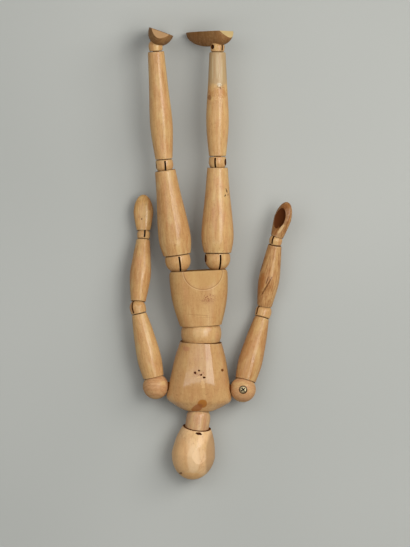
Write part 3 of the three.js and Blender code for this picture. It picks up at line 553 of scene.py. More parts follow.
def arc(radius, start, end, centre=(0.0, 0.0), steps=14):
    """Points of a circle in a turning outline, as pairs of radius and height."""
    angles = np.linspace(start, end, steps + 1)
    across = np.maximum(0, centre[0] + radius * np.cos(angles))
    return np.stack([across, centre[1] + radius * np.sin(angles)], axis=1)


def rounded_over(radius, at, inwards):
    """A rim rounded over by sandpaper, from the end face to the side."""
    angles = np.linspace(0, math.pi / 2, 6)
    across = radius - RIM_ACROSS * (1 - np.sin(angles))
    along = at + RIM_ALONG * inwards * (1 - np.cos(angles))
    return list(zip(across, along))

print("outlines ready")

# %% Stretch a skin over rings
def ring_skin(rings, closed_ring=False):
    """Faces between rings of points, with a point at each end or the last ring joined to the first."""
    count, sides = rings.shape[:2]
    index = np.arange(count * sides).reshape(count, sides)
    below = index if closed_ring else index[:-1]
    above = np.roll(index, -1, axis=0) if closed_ring else index[1:]
    quads = np.stack([below, np.roll(below, -1, 1), np.roll(above, -1, 1), above], axis=-1)
    faces = [tuple(quad) for quad in quads.reshape(-1, 4)]
    points = rings.reshape(-1, 3)
    if not closed_ring:
        ends = np.stack([rings[0].mean(axis=0), rings[-1].mean(axis=0)])
        points = np.concatenate([points, ends])
        for j in range(sides):
            k = (j + 1) % sides
            faces.append((index[0, k], index[0, j], count * sides))
            faces.append((index[-1, j], index[-1, k], count * sides + 1))
    return points, faces


def build(name, points, faces, where):
    """A mesh object from points in millimetres in a local frame, with its faces turned outwards."""
    mesh = bpy.data.meshes.new(name)
    mesh.from_pydata([where @ (Vector(p) * MM) for p in points], [], faces)
    piece = bpy.data.objects.new(name, mesh)
    scene.collection.objects.link(piece)
    if sum(face.area * face.center.dot(face.normal) for face in mesh.polygons) < 0:
        mesh.flip_normals()
    return piece

print("skins ready")

# %% Turned and lofted forms
TURNED_SIDES = 96
OVAL_SIDES = 160


def turned(name, outline, where, sides=TURNED_SIDES, closed_ring=False):
    """An outline of radius and height spun round the local Y axis."""
    outline = np.array(outline, dtype=float)
    angles = np.linspace(0, 2 * np.pi, sides, endpoint=False)
    across, along = outline[:, :1], outline[:, 1:]
    x, z = across * np.cos(angles), across * np.sin(angles)
    rings = np.stack([x, np.broadcast_to(along, x.shape), z], axis=-1)
    return build(name, *ring_skin(rings, closed_ring), where)


def lofted(name, stations, where, rings=72, power=2.0):
    """A skin over ovals. A station is its place along Y, its width, its depth and its shift in Z."""
    y, width, depth, shift = smooth_through(stations, rings).T
    angles = np.linspace(0, 2 * np.pi, OVAL_SIDES, endpoint=False)
    c, s = np.cos(angles), np.sin(angles)
    round_x = np.sign(c) * np.abs(c) ** (2 / power) / 2
    round_z = np.sign(s) * np.abs(s) ** (2 / power) / 2
    x = width[:, None] * round_x
    z = depth[:, None] * round_z + shift[:, None]
    along = np.broadcast_to(y[:, None], x.shape)
    skin = np.stack([x, along, z], axis=-1)
    return build(name, *ring_skin(skin), where)


def rounded_end(start, end, width, depth):
    """Stations that close a form over to a round end, as a quarter of an oval."""
    parts = np.sin(np.linspace(0, math.pi / 2, 9)[1:])
    sizes = np.sqrt(1.004 - parts**2)
    return [(start + (end - start) * p, width * s, depth * s, 0) for p, s in zip(parts, sizes)]

print("sides of a turned piece", TURNED_SIDES)

# %% Cutting tools
def block(name, size, where):
    """A box about the local origin."""
    x, y, z = (s / 2 for s in size)
    bottom = [(-x, -y), (x, -y), (x, y), (-x, y)]
    points = [(*p, -z) for p in bottom] + [(*p, z) for p in bottom]
    faces = [(0, 3, 2, 1), (4, 5, 6, 7)]
    faces += [(i, (i + 1) % 4, (i + 1) % 4 + 4, i + 4) for i in range(4)]
    return build(name, points, faces, where)


def sphere(name, radius, where):
    return turned(name, arc(radius, -math.pi / 2, math.pi / 2, steps=40)[1:-1], where)


def cylinder(name, radius, low, high, where, sides=48):
    return turned(name, [(radius, low), (radius, high)], where, sides)


def carve(piece, *tools):
    """Cuts tools out of a piece and throws the tools away."""
    for tool in tools:
        cutter = piece.modifiers.new("cut", "BOOLEAN")
        cutter.operation = "DIFFERENCE"
        cutter.solver = "MANIFOLD"
        cutter.object = tool
    flatten(piece)
    for tool in tools:
        bpy.data.objects.remove(tool)


def flatten(piece):
    """Replaces a piece's mesh with what its modifiers make of it."""
    graph = bpy.context.evaluated_depsgraph_get()
    mesh = bpy.data.meshes.new_from_object(piece.evaluated_get(graph))
    piece.modifiers.clear()
    piece.data = mesh


print("tools ready")

# %% [markdown]
# Dressing a piece
#
# A finished piece needs its finish, its grain frame, the heights of its ends, where dirt and painted
# shade are laid, a tone of its own and the body that it rides on. A material for each piece could hold
# all that, but attributes on the mesh let pieces share one. The plain solid of the same name is then
# hidden.

# %% Dress a piece and seat it on its body
SEED = 7
GRAIN_SHIFT = 0.02
GRAIN_SHIFT_WAYS = (1, 8, 1)
TONE_SPREAD = 0.12
FAR_AWAY = 9.0
chance = np.random.default_rng(SEED)
pieces = []


def seat(piece, node, body, crease):
    """Smooths a finished piece, ties it to its body and hides the plain solid of the same name."""
    mesh = piece.data
    mesh.polygons.foreach_set("use_smooth", np.ones(len(mesh.polygons), dtype=bool))
    mesh.set_sharp_from_angle(angle=math.radians(crease))
    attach(piece, body)
    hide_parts(node)
    pieces.append(piece)


def note(mesh, name, values, domain="POINT"):
    """Writes a number for each point or face of a mesh."""
    mesh.attributes.new(name, "FLOAT", domain).data.foreach_set("value", values)


def note_vectors(mesh, name, values):
    mesh.attributes.new(name, "FLOAT_VECTOR", "POINT").data.foreach_set("vector", values)


def dress(
    piece, node, body, where, material, rims=(), rim_width=0.8, tone=None, inside=None,
    crease=32,
):
    """Gives a piece its finish and attributes, and seats it."""
    mesh = piece.data
    mesh.materials.clear()
    mesh.materials.append(material)
    points = np.empty(len(mesh.vertices) * 3)
    mesh.vertices.foreach_get("co", points)
    points = points.reshape(-1, 3)
    back = np.array(where.inverted())
    local = points @ back[:3, :3].T + back[:3, 3]
    shift = chance.uniform(-GRAIN_SHIFT, GRAIN_SHIFT, 3) * GRAIN_SHIFT_WAYS
    own_tone = chance.uniform(-TONE_SPREAD, TONE_SPREAD) if tone is None else tone
    heights = [end * MM + shift[1] for end in rims] or [FAR_AWAY]
    note_vectors(mesh, "grain", (local + shift).ravel())
    note_vectors(mesh, "ends", np.tile((heights[0], heights[-1], rim_width * MM), len(points)))
    note(mesh, "tone", np.full(len(points), own_tone))
    if inside is not None:
        hidden = [float(inside(where.inverted() @ face.center / MM)) for face in mesh.polygons]
        note(mesh, "inside", hidden, "FACE")
    seat(piece, node, body, crease)


print("dresser ready")

# %% [markdown]
# Knuckles
#
# A knuckle is the clever piece: a ball with a peg that swivels in one limb, and a saw slot and pin
# hole for the strap of the other. Only the shoulders are round all over. The others have sides that
# are all but straight down to the peg. The slot and holes could be painted on, but they open as the
# joint bends. So a knuckle is turned as one outline and then sawn and drilled with booleans, which
# is just how the real one is made. The pin's head sits in a recess.

# %% Knuckle sizes
WOOD_GAP = 0.3
METAL_GAP = 0.2
SLOT_WIDTH = 1.2
KNUCKLE_WEB = 0.8
PIN_SINK = 1.8
PIN_HEAD_HEIGHT = 0.9
PIN_TAIL_WALL = 1.4
STRAP_PLAY = 1.0


class Knuckle:
    """The sizes of one kind of knuckle, in millimetres."""

    def __init__(self, ball, flat, peg, peg_length, eye, strap, pin, head, slot_floor=None):
        self.ball = ball
        self.flat = flat
        self.peg = peg
        self.peg_length = peg_length
        self.bore = eye + STRAP_PLAY
        self.strap = strap
        self.pin = pin
        self.head = head
        self.slot_floor = flat - KNUCKLE_WEB if slot_floor is None else slot_floor
        self.socket = ball + WOOD_GAP
        self.head_seat = ball - PIN_SINK - PIN_HEAD_HEIGHT
        self.pin_tail = ball - PIN_TAIL_WALL


knuckles = {
    "hip": Knuckle(8.6, 3.4, 3.2, 8, 2.6, 12, 1.2, 2.5),
    "knee": Knuckle(5.95, 3.6, 2.4, 7, 2.2, 14, 1.0, 2.1),
    "ankle": Knuckle(4.75, 3.3, 2.0, 6, 1.9, 6.6, 0.8, 1.4),
    "shoulder": Knuckle(8.6, 8.1, 3.2, 9, 2.6, 14, 1.2, 2.1, slot_floor=4.8),
    "elbow": Knuckle(5.45, 3.9, 2.2, 7, 2.1, 9.5, 0.9, 1.6),
    "wrist": Knuckle(4.4, 2.9, 1.8, 6, 1.7, 8.5, 0.8, 1.3),
}
SCREW_HEAD = 2.6
hinge_of = {
    "hip": "hip_swing", "knee": "knee_bend", "ankle": "foot_bend",
    "shoulder": "arm_lift", "elbow": "elbow_bend", "wrist": "hand_bend",
}


def pin_name(side, kind):
    return "right_shoulder_screw" if (side, kind) == ("right", "shoulder") else f"{side}_{kind}_pin"


def pin_way(side, kind):
    """The direction of a pin from its tail to its head, which is where the plain pin is thickest."""
    plain_pin = frame["nodes"][pin_name(side, kind)]
    hinge = f"{side}_{hinge_of[kind]}"
    axis = joint_axis[hinge]
    points = [plain_pin.matrix_world @ vertex.co - joint_at[hinge] for vertex in plain_pin.data.vertices]
    thickest = max(points, key=lambda point: point.cross(axis).length)
    return axis * math.copysign(1, thickest.dot(axis))


print("knuckle kinds", len(knuckles))

# %% Turn, saw and drill the knuckles
def knuckle_frame(side, kind, away_from_peg):
    """Y away from the peg and X along the pin."""
    pin = pin_way(side, kind)
    y = away_from_peg.normalized()
    return frame_at(joint_at[f"{side}_{hinge_of[kind]}"], y, pin.cross(y))


KNUCKLE_TAPER = 0.3
PEG_CHAMFER = 0.3
UNDER_SKIN = 0.1
PAST_END = 0.05
shoulder_wood = wood(
    "shoulder wood", pale=srgb(203, 157, 110), deep=srgb(170, 118, 76), coat=0.2, haze=0.25,
)


def make_knuckle(side, kind, away_from_peg):
    size = knuckles[kind]
    name = f"{side}_shoulder_ball" if kind == "shoulder" else f"{side}_{kind}_knuckle"
    where = knuckle_frame(side, kind, away_from_peg)
    peg_end = -size.flat - size.peg_length
    outline = [(size.peg - PEG_CHAMFER, peg_end), (size.peg, peg_end + PEG_CHAMFER), (size.peg, -size.flat)]
    if kind == "shoulder":
        skin = arc(size.ball, -math.asin(size.flat / size.ball), math.pi / 2, steps=36)[:-1]
    else:
        narrow = size.ball - KNUCKLE_TAPER
        lower = [(narrow - EDGE, -size.flat), (narrow, EDGE - size.flat)]
        skin = [*lower, *arc(size.ball, 0, math.pi / 2, steps=24)[:-1]]
    piece = turned(f"{name}_turned", [*outline, *skin], where)
    saw_height = size.ball + size.slot_floor + EDGE
    saw_at = where @ Matrix.Translation(Vector((0, saw_height / 2 - size.slot_floor, 0)) * MM)
    saw = block("saw", (SLOT_WIDTH, saw_height, 2 * size.ball + 1), saw_at)
    across = where @ Matrix.Rotation(-math.pi / 2, 4, "Z")
    drill = cylinder("drill", size.pin + METAL_GAP, -size.pin_tail - METAL_GAP, size.ball + EDGE, across)
    head = SCREW_HEAD if pin_name(side, kind).endswith("screw") else size.head
    recess = cylinder("recess", head + METAL_GAP, size.head_seat - METAL_GAP, size.ball + EDGE, across)
    carve(piece, saw, drill, recess)
    body = f"{side}_{kind}"
    # Faces under the skin, in the slot, the holes and on the peg, are painted dark: dirt and painted shade.
    dress(
        piece, name, body, where, shoulder_wood if kind == "shoulder" else limb_wood,
        rims=(-size.flat,), rim_width=0.4, tone=0.0,
        inside=lambda p: p.length < size.ball - UNDER_SKIN or p.y < -size.flat - PAST_END,
    )


for side in SIDES:
    make_knuckle(side, "hip", -between(f"{side}_hip_swing", f"{side}_knee_bend"))
    make_knuckle(side, "knee", -between(f"{side}_knee_bend", f"{side}_foot_bend"))
    make_knuckle(side, "ankle", between(f"{side}_knee_bend", f"{side}_foot_bend"))
    make_knuckle(side, "elbow", between(f"{side}_arm_lift", f"{side}_elbow_bend"))
    make_knuckle(side, "wrist", between(f"{side}_elbow_bend", f"{side}_hand_bend"))
    outwards = joint_axis[f"{side}_shoulder_swing"] * (-1 if side == "left" else 1)
    make_knuckle(side, "shoulder", outwards)
print("knuckles made", len(pieces))

# %% [markdown]
# Limbs
#
# Thigh, shin, upper arm and forearm are turned pieces with a hollow or drilled end. Cylinders could be
# bevelled and cut for that, but one outline holds it all: a socket or a flat end, a swelling, a taper
# and the other end. The rims are rounded over, as sandpaper leaves them.

# %% Outline of a limb
NEARLY_CLOSED = 0.01
END_SLACK = 0.02


def socket_end(size, rim, lip):
    """A hollow end that sits over a hinged ball."""
    mouth = math.sqrt(size.socket**2 - rim**2)
    hollow = arc(size.socket, math.acos(size.bore / size.socket), math.acos(mouth / size.socket), steps=10)
    floor = size.strap + WOOD_GAP
    inside = [(NEARLY_CLOSED, floor), (size.bore, floor), *hollow]
    return {"radius": mouth + lip, "at": rim, "inside": inside}


def flat_end(size, radius):
    """A flat end drilled for a peg."""
    at = size.flat + WOOD_GAP
    bore = size.peg + WOOD_GAP
    floor = at + size.peg_length
    inside = [(NEARLY_CLOSED, floor), (bore, floor), (bore, at)]
    return {"radius": radius, "at": at, "inside": inside}


def make_limb(side, name, start, end, near, swells, far, material, tone=None):
    length = between(start, end).length / MM
    where = frame_at(joint_at[start], between(start, end), UP)
    near_end = (near["radius"], near["at"] + EDGE)
    far_end = (far["radius"], length - far["at"] - EDGE)
    side_line = smooth_through([near_end, *swells, far_end], 64)[1:-1]
    far_inside = [(r, length - y) for r, y in far["inside"]][::-1]
    near_rim = rounded_over(near["radius"], near["at"], 1)
    far_rim = rounded_over(far["radius"], length - far["at"], -1)[::-1]
    outline = [*near["inside"], *near_rim, *side_line, *far_rim, *far_inside]
    node = f"{side}_{name}"
    piece = turned(f"{node}_turned", outline, where)
    first, last = near["at"], length - far["at"]
    dress(
        piece, node, node, where, material, rims=(first, last), rim_width=0.55, tone=tone,
        inside=lambda p: not first + END_SLACK < p.y < last - END_SLACK,
    )


print("limb outlines ready")

# %% [markdown]
# Marks on single limbs
#
# Most limbs share one wood. The right shin was mended and is bleached at its foot end, the right
# thigh is chipped and the right forearm is cracked. Each of these gets a wood of its own, whose marks
# are placed by where they show in the picture and how high the skin is there.

# %% Woods with marks
BLEACHED = srgb(216, 201, 166)
repaired_shin_wood = wood("shin wood", marks=[
    Mark(at_pixel(218, 66, 28), (14, 15.5, 16), srgb(176, 150, 111), 0.8, 0.3, 260.0),
    Mark(at_pixel(212.6, 68, 29), (0.5, 9.5, 9), BLEACHED, 0.35, 0.5, 300.0),
    Mark(at_pixel(217.2, 66, 30), (0.8, 11.0, 9), BLEACHED, 0.3, 0.5, 300.0),
    Mark(at_pixel(222.0, 70, 29), (0.6, 9.0, 9), BLEACHED, 0.3, 0.5, 300.0),
    Mark(at_pixel(214.8, 66, 30), (0.3, 10.0, 9), UMBER, 0.3, 0.5, 300.0),
    Mark(at_pixel(219.8, 64, 30), (0.3, 9.0, 9), UMBER, 0.3, 0.5, 300.0),
    Mark(at_pixel(218.5, 93, 29.5), (9.0, 3.2, 9), srgb(176, 118, 62), 0.45, 0.9, 420.0),
    Mark(at_pixel(219.3, 84.6, 29.5), (1.8, 1.4, 9), srgb(222, 214, 190), 0.4, 0.6, 900.0),
    Mark(at_pixel(220, 87, 29.5), (4.0, 2.6, 9), GRIME_AND_SHADE, 0.8, specks=0.54, grit=1100.0, dent=0.6),
    Mark(at_pixel(209.6, 97.5, 26), (1.6, 2.0, 9), UMBER, 0.7, 0.5, 700.0),
    Mark(at_pixel(219, 98, 30), (6.0, 5.0, 9), srgb(230, 200, 140), 0.6, specks=0.56, grit=1300.0),
])
chipped_thigh_wood = wood("thigh wood", marks=[
    Mark(at_pixel(226.6, 190.5, 29), (0.4, 1.7, 9), CHIP, 0.95, 0.5, 900.0, 0.6, turn=-18),
    Mark(at_pixel(225.2, 195.5, 30), (0.45, 1.1, 9), CHIP, 0.9, 0.5, 900.0, 0.4, turn=25),
    Mark(at_pixel(228.0, 194.5, 29), (0.35, 0.9, 9), CHIP, 0.85, 0.5, 900.0, 0.4),
])
CRACK = srgb(92, 50, 22)
cracked_forearm_wood = wood("forearm wood", deep=srgb(142, 84, 40), streak_weight=0.6, patches=0.35, marks=[
    Mark(at_pixel(261, 284, 13), (2.6, 9.5, 9), srgb(158, 96, 44), 0.5, 0.6, 300.0, turn=14),
    Mark(at_pixel(262.6, 262, 15), (0.6, 8.0, 9), UMBER, 0.8, 0.5, 500.0, turn=13),
    Mark(at_pixel(266.8, 286, 16), (0.6, 8.8, 9), CRACK, 0.75, 0.6, 700.0, 0.5, turn=30),
    Mark(at_pixel(267.4, 280, 16), (0.5, 3.8, 9), CRACK, 0.75, 0.6, 700.0, 0.5, turn=22),
    Mark(at_pixel(270, 262, 16), (0.3, 6.0, 9), UMBER, 0.6, 0.5, 500.0, turn=6),
    Mark(at_pixel(279, 264, 12), (1.4, 6.5, 9), UMBER, 0.8, specks=0.55, grit=1200.0),
])

print("materials so far", len(bpy.data.materials))

# %% Turn the limbs
for side in SIDES:
    on_right = side == "right"
    make_limb(
        side, "thigh", f"{side}_hip_swing", f"{side}_knee_bend",
        near=flat_end(knuckles["hip"], 9.3),
        swells=[(10.8, 17), (8.1, 45)],
        far=socket_end(knuckles["knee"], 3.7, 1.9),
        material=chipped_thigh_wood if on_right else limb_wood,
        tone=-0.06 if on_right else 0.16,
    )
    make_limb(
        side, "shin", f"{side}_knee_bend", f"{side}_foot_bend",
        near=flat_end(knuckles["knee"], 5.8),
        swells=[(7.55, 27), (6.35, 53)],
        far=flat_end(knuckles["ankle"], 5.45),
        material=repaired_shin_wood if on_right else limb_wood,
    )
    make_limb(
        side, "upper_arm", f"{side}_arm_lift", f"{side}_elbow_bend",
        near=socket_end(knuckles["shoulder"], 6.2, 0.6),
        swells=[(8.05, 19), (6.8, 36)],
        far=flat_end(knuckles["elbow"], 5.0),
        material=limb_wood,
        tone=0.45 if on_right else -0.06,
    )
    make_limb(
        side, "forearm", f"{side}_elbow_bend", f"{side}_hand_bend",
        near=socket_end(knuckles["elbow"], 4.1, 1.0),
        swells=[(7.0, 21), (5.9, 35)],
        far=flat_end(knuckles["wrist"], 4.55),
        material=cracked_forearm_wood if on_right else limb_wood,
        tone=0.04 if on_right else 0.18,
    )
print("pieces so far", len(pieces))

# %% [markdown]
# Waist and neck
#
# The waist is a ball with a bore for the long spring, held between two rims. The neck is a short
# column with a round end in the chest and another in the head. Both are turned, and their bores
# run right through. The bores could be cut out afterwards, but an outline that closes on itself
# gives them at once. The spring in each sways with it, so the hollows behind the sockets of pelvis
# and chest are wide.

# %% Turn waist and neck
WAIST_BALL = 13.5
WAIST_RIM = 5.6
WAIST_SHOWS = WAIST_RIM - 0.2
WAIST_RIM_RADIUS = 13.9
NECK_RADIUS = 8.0
NECK_LENGTH = neck_way.length / MM
SPRING_BORE = 3.6
SPRING_HOLE = SPRING_BORE + 1.6
SPRING_SEAT = 8.0
SPINE_ROOM = 11.3
NECK_ROOM = 7.3

waist_wood = wood(
    "waist wood", gloss=0.32, coat=0.5, haze=0.25, ring_weight=0.15, streak_weight=0.3, patches=0.7,
)
mouth = math.acos(SPRING_BORE / WAIST_BALL)
waist = turned("waist_ball", arc(WAIST_BALL, -mouth, mouth, steps=48), place["waist"], closed_ring=True)
dress(
    waist, "waist", "waist", place["waist"], waist_wood, tone=0.0,
    inside=lambda p: abs(p.y) > WAIST_SHOWS,
)
mouth = math.acos(SPRING_BORE / NECK_RADIUS)
lower = arc(NECK_RADIUS, -mouth, 0)
upper = arc(NECK_RADIUS, 0, mouth, centre=(0, NECK_LENGTH))
neck = turned("neck_column", [*lower, *upper], place["neck"], closed_ring=True)
neck_wood = wood("neck wood", pale=srgb(206, 166, 124), deep=srgb(176, 128, 88), ring_weight=0.15)
dress(neck, "neck", "neck", place["neck"], neck_wood, tone=0.15)
print("neck", round(NECK_LENGTH, 1), "mm between its centres")

# %% [markdown]
# Pelvis
#
# The pelvis is a block with rounded sides. Two slanted cuts at its leg end give the half-moon
# facets that make room for the thighs. The sockets for hips and waist are round hollows, and the
# straps and the long spring go into bores behind them. A box with a bevel would keep flat faces, so
# the block is a loft over rounded squares, and the cuts are made after it as a carver would.

# %% Sizes, stains and painted light of the pelvis
HIP_HALF = between("left_hip_swing", "right_hip_swing").length / 2 / MM
PELVIS_LEG_END = 7.4
PELVIS_DEPTH = 27.0
WAIST_UP = (waist_at - hip_middle).length / MM
PELVIS_WAIST_END = WAIST_UP - WAIST_RIM
BEVEL_RISE = 10.9
BEVEL_DEPTH = 1.65
BEVEL_TURN = math.radians(-2.3)
BEVEL_TOOL = (80, 80, 30)
LIMB_SPRING_LENGTH = 8.0


def shifted(where, x=0.0, y=0.0, z=0.0):
    return where @ Matrix.Translation(Vector((x, y, z)) * MM)


RUST = srgb(134, 66, 40)
pelvis_marks = [
    # The first three marks paint the half-moon facet: a slightly darker tint over it, a thin dark line of
    # painted shade along its edge and a thin pale line of painted highlight just outside it.
    Mark(at_pixel(203, 272, 31), (12.9, 11.7, 20), srgb(188, 148, 88), 0.45, 0.03, 300.0),
    Mark(at_pixel(203, 272, 31), (12.9, 11.7, 20), UMBER, 0.6, line=0.04),
    Mark(at_pixel(203, 272, 31), (13.5, 12.3, 20), srgb(222, 190, 144), 0.4, line=0.035),
    Mark(at_pixel(209.5, 298, 33), (6.4, 3.8, 9), RUST, 0.9, specks=0.52, grit=1500.0),
    Mark(at_pixel(206, 301, 33), (4.8, 2.8, 9), RUST, 0.6, specks=0.5, grit=2200.0),
    Mark(at_pixel(199, 315, 33), (10.0, 0.22, 6), UMBER, 0.4, 0.5, 400.0, turn=4),
    Mark(at_pixel(205, 317.5, 33), (8.0, 0.2, 6), UMBER, 0.3, 0.5, 400.0, turn=-3),
]
pelvis_wood = wood(
    "pelvis wood", pale=srgb(198, 158, 104), coat=0.15, haze=0.3, ring_weight=0.1, streak_weight=0.25,
    patches=0.5, marks=pelvis_marks,
)
print("pelvis", round(PELVIS_WAIST_END - PELVIS_LEG_END, 1), "mm long")

# %% Carve the pelvis
pelvis = lofted("pelvis_block", [
    (PELVIS_LEG_END, 36.9, PELVIS_DEPTH, 0),
    (PELVIS_LEG_END + 2, 38.8, PELVIS_DEPTH, 0),
    (15, 38.8, PELVIS_DEPTH, 0),
    (25, 37.3, PELVIS_DEPTH, 0),
    (35.5, 33, PELVIS_DEPTH, 0),
    (PELVIS_WAIST_END, 2 * WAIST_RIM_RADIUS, 2 * WAIST_RIM_RADIUS, 0),
], place["pelvis"], power=2.6)
tools = []
for face in (0, math.pi):
    plane = place["pelvis"] @ Matrix.Rotation(face + BEVEL_TURN, 4, "Y")
    plane = shifted(plane, 0, PELVIS_LEG_END, PELVIS_DEPTH / 2 - BEVEL_DEPTH)
    plane = plane @ Matrix.Rotation(math.atan2(BEVEL_DEPTH, BEVEL_RISE), 4, "X")
    tools.append(block("bevel", BEVEL_TOOL, shifted(plane, 0, 0, BEVEL_TOOL[2] / 2)))
for half in (-HIP_HALF, HIP_HALF):
    hip_at = shifted(place["pelvis"], half)
    hip_depth = knuckles["hip"].strap + LIMB_SPRING_LENGTH + 2 * WOOD_GAP
    tools.append(sphere("hip socket", knuckles["hip"].socket, hip_at))
    tools.append(cylinder("hip bore", knuckles["hip"].bore, 0, hip_depth, hip_at))
waist_in_pelvis = shifted(place["pelvis"], 0, WAIST_UP)
tools.append(sphere("waist socket", WAIST_BALL + WOOD_GAP, waist_in_pelvis))
tools.append(cylinder("spine room", SPINE_ROOM, -WAIST_BALL - SPRING_SEAT, 0, waist_in_pelvis))
carve(pelvis, *tools)
dress(
    pelvis, "pelvis", "pelvis", place["pelvis"], pelvis_wood, rims=(PELVIS_LEG_END,), rim_width=0.5,
    tone=0.14, crease=6,
)
print("pelvis faces", len(pelvis.data.polygons))

# %% [markdown]
# Chest
#
# The chest widens from the waist rim to the shoulders and closes over to the neck. It is polished
# more than the rest, so the windows show in it. The shoulder balls sink a little into its flanks and
# their pegs share one bore across it. As with the pelvis, a loft gives its soft sides and booleans
# its hollows.

# %% Sizes and stains of the chest
CHEST_LENGTH = 46.4
CHEST_WIDTH = 43.4
CHEST_DEPTH = 30.0
CHEST_SHIFT = -1.1
CHEST_TOP = WAIST_RIM + CHEST_LENGTH
CHEST_WIDEST = WAIST_RIM + 38.5
SHOULDER_UP = WAIST_RIM + 31
SHOULDER_SINK = 1.0
SHOULDER_OUT = CHEST_WIDTH / 2 + knuckles["shoulder"].ball - SHOULDER_SINK
NECK_UP = between("waist_bend", "neck_nod").length / MM

RUBBED = srgb(216, 174, 122)
chest_marks = [
    Mark(at_pixel(186.5, 348.5, 26), (2.6, 2.2, 9), srgb(178, 112, 84), 0.45, 0.5, 400.0),
    Mark(at_pixel(202.8, 384, 30), (1.5, 3.4, 9), RUBBED, 0.7, 0.7, 700.0, 0.7, turn=-8),
    Mark(at_pixel(199.5, 377, 31), (3.0, 0.7, 9), RUBBED, 0.6, 0.7, 700.0, 0.7, turn=-20),
    Mark(at_pixel(195.2, 372.8, 31), (1.0, 1.1, 6), CHIP, 1.0, 0.5, 900.0, 1.0),
    Mark(at_pixel(199, 370.6, 31), (0.8, 0.7, 6), CHIP, 1.0, 0.5, 900.0, 1.0),
    Mark(at_pixel(201.2, 375, 31), (0.8, 0.8, 6), CHIP, 1.0, 0.5, 900.0, 1.0),
    Mark(at_pixel(204.2, 377.6, 31), (1.0, 0.8, 6), CHIP, 1.0, 0.5, 900.0, 1.0),
    Mark(at_pixel(199, 374, 31), (5.2, 3.4, 9), RUST, 0.8, specks=0.56, grit=1100.0),
    Mark(at_pixel(222.3, 370.2, 25), (1.0, 1.1, 9), srgb(104, 56, 26), 0.95, 0.3, 900.0, 1.0),
    Mark(at_pixel(202.5, 404, 27), (3.7, 3.4, 9), srgb(168, 104, 32), 0.9, 0.15, 300.0),
    Mark(at_pixel(196.8, 408.6, 25), (5.0, 3.0, 9), srgb(152, 88, 42), 0.8, 0.25, 300.0, turn=-35),
]
chest_wood = wood(
    "chest wood", gloss=0.32, coat=0.68, haze=0.075, ring_weight=0.1, streak_weight=0.22, patches=0.45,
    marks=chest_marks,
)
print("marks on the chest", len(chest_marks))

# %% Carve the chest
chest = lofted("chest_block", [
    (WAIST_RIM, 2 * WAIST_RIM_RADIUS, 2 * WAIST_RIM_RADIUS, 0),
    (WAIST_RIM + 10.5, 34, CHEST_DEPTH, CHEST_SHIFT),
    (WAIST_RIM + 21, 38, CHEST_DEPTH, CHEST_SHIFT),
    (SHOULDER_UP, (38 + 2 * CHEST_WIDTH) / 3, CHEST_DEPTH * 0.96, CHEST_SHIFT),
    (CHEST_WIDEST, CHEST_WIDTH, CHEST_DEPTH * 0.88, CHEST_SHIFT),
    ((CHEST_WIDEST + CHEST_TOP) / 2, 34, CHEST_DEPTH * 0.74, CHEST_SHIFT),
    (CHEST_TOP - EDGE, 21, 15, 0),
    (CHEST_TOP, 14.7, 12, 0),
], place["chest"], power=2.4)
tools = []
for half in (-SHOULDER_OUT, SHOULDER_OUT):
    shoulder_at = shifted(place["chest"], half, SHOULDER_UP)
    tools.append(sphere("shoulder socket", knuckles["shoulder"].socket, shoulder_at))
cross = shifted(place["chest"], 0, SHOULDER_UP) @ Matrix.Rotation(-math.pi / 2, 4, "Z")
cross_bore = knuckles["shoulder"].peg + WOOD_GAP
tools.append(cylinder("cross bore", cross_bore, -SHOULDER_OUT, SHOULDER_OUT, cross))
tools.append(sphere("waist socket", WAIST_BALL + WOOD_GAP, place["chest"]))
tools.append(cylinder("spine bore", SPRING_HOLE, 0, WAIST_BALL + SPRING_SEAT, place["chest"]))
neck_in_chest = shifted(place["chest"], 0, NECK_UP)
tools.append(sphere("neck socket", NECK_RADIUS + WOOD_GAP, neck_in_chest))
tools.append(cylinder("neck room", NECK_ROOM, -NECK_RADIUS - SPRING_SEAT / 2, 0, neck_in_chest))
carve(chest, *tools)
dress(
    chest, "chest", "chest", place["chest"], chest_wood, rims=(WAIST_RIM, CHEST_TOP), rim_width=0.6,
    tone=0.22,
)
print("chest faces", len(chest.data.polygons))

# %% [markdown]
# Head
#
# The head is a plain egg with its neck end cut on the slant and hollowed for the neck. It has no
# face, as is usual for such figures. One side has been rubbed a little flat. A squeezed ball would be
# too regular, so the egg is a loft, and the flat and the slant are cut from it with large blocks.

# %% Sizes, stains and painted light of the head
HEAD_LENGTH = 33.4
HEAD_WIDTH = 29.0
HEAD_RIM = 2.2
HEAD_RIM_RADIUS = 9.4
HEAD_SLANT = 14.0
HEAD_WIDEST = 16.0
HEAD_CHEEK = (7.8, 26.4)
HEAD_JAW = HEAD_RIM_RADIUS + HEAD_CHEEK[1] / 2
HEAD_FLAT = 0.8
HEAD_FLAT_TURN = -17.0
FLAT_TOOL = (40, 80, 20)
SLANT_TOOL = (60, 30, 60)
ON_CUT = 0.05

head_marks = [
    Mark(at_pixel(198.6, 433.6, 24), (2.5, 1.0, 6), CHIP, 1.0, 0.45, 700.0, 1.0, turn=8),
    Mark(at_pixel(181, 458, 25), (8.0, 14.0, 14), srgb(214, 162, 104), 0.4, 0.2, 120.0),
    Mark(at_pixel(190, 478, 21), (10.0, 4.6, 12), srgb(220, 162, 92), 0.45, 0.3, 160.0),
    # A pale oval of painted highlight on the rubbed flat, where it faces the light.
    Mark(at_pixel(193.6, 459, 26), (5.0, 11.0, 9), srgb(230, 196, 152), 0.6, 0.08, 200.0),
    # A darker oval of painted shade on the right flank beyond the flat.
    Mark(at_pixel(213.5, 456, 18), (7.4, 18.0, 18), srgb(168, 130, 90), 0.75, 0.05, 200.0),
    Mark(at_pixel(180.4, 473.6, 21), (1.5, 0.9, 6), GRIME_AND_SHADE, 0.7, 0.6, 1000.0, 0.4, turn=-20),
]
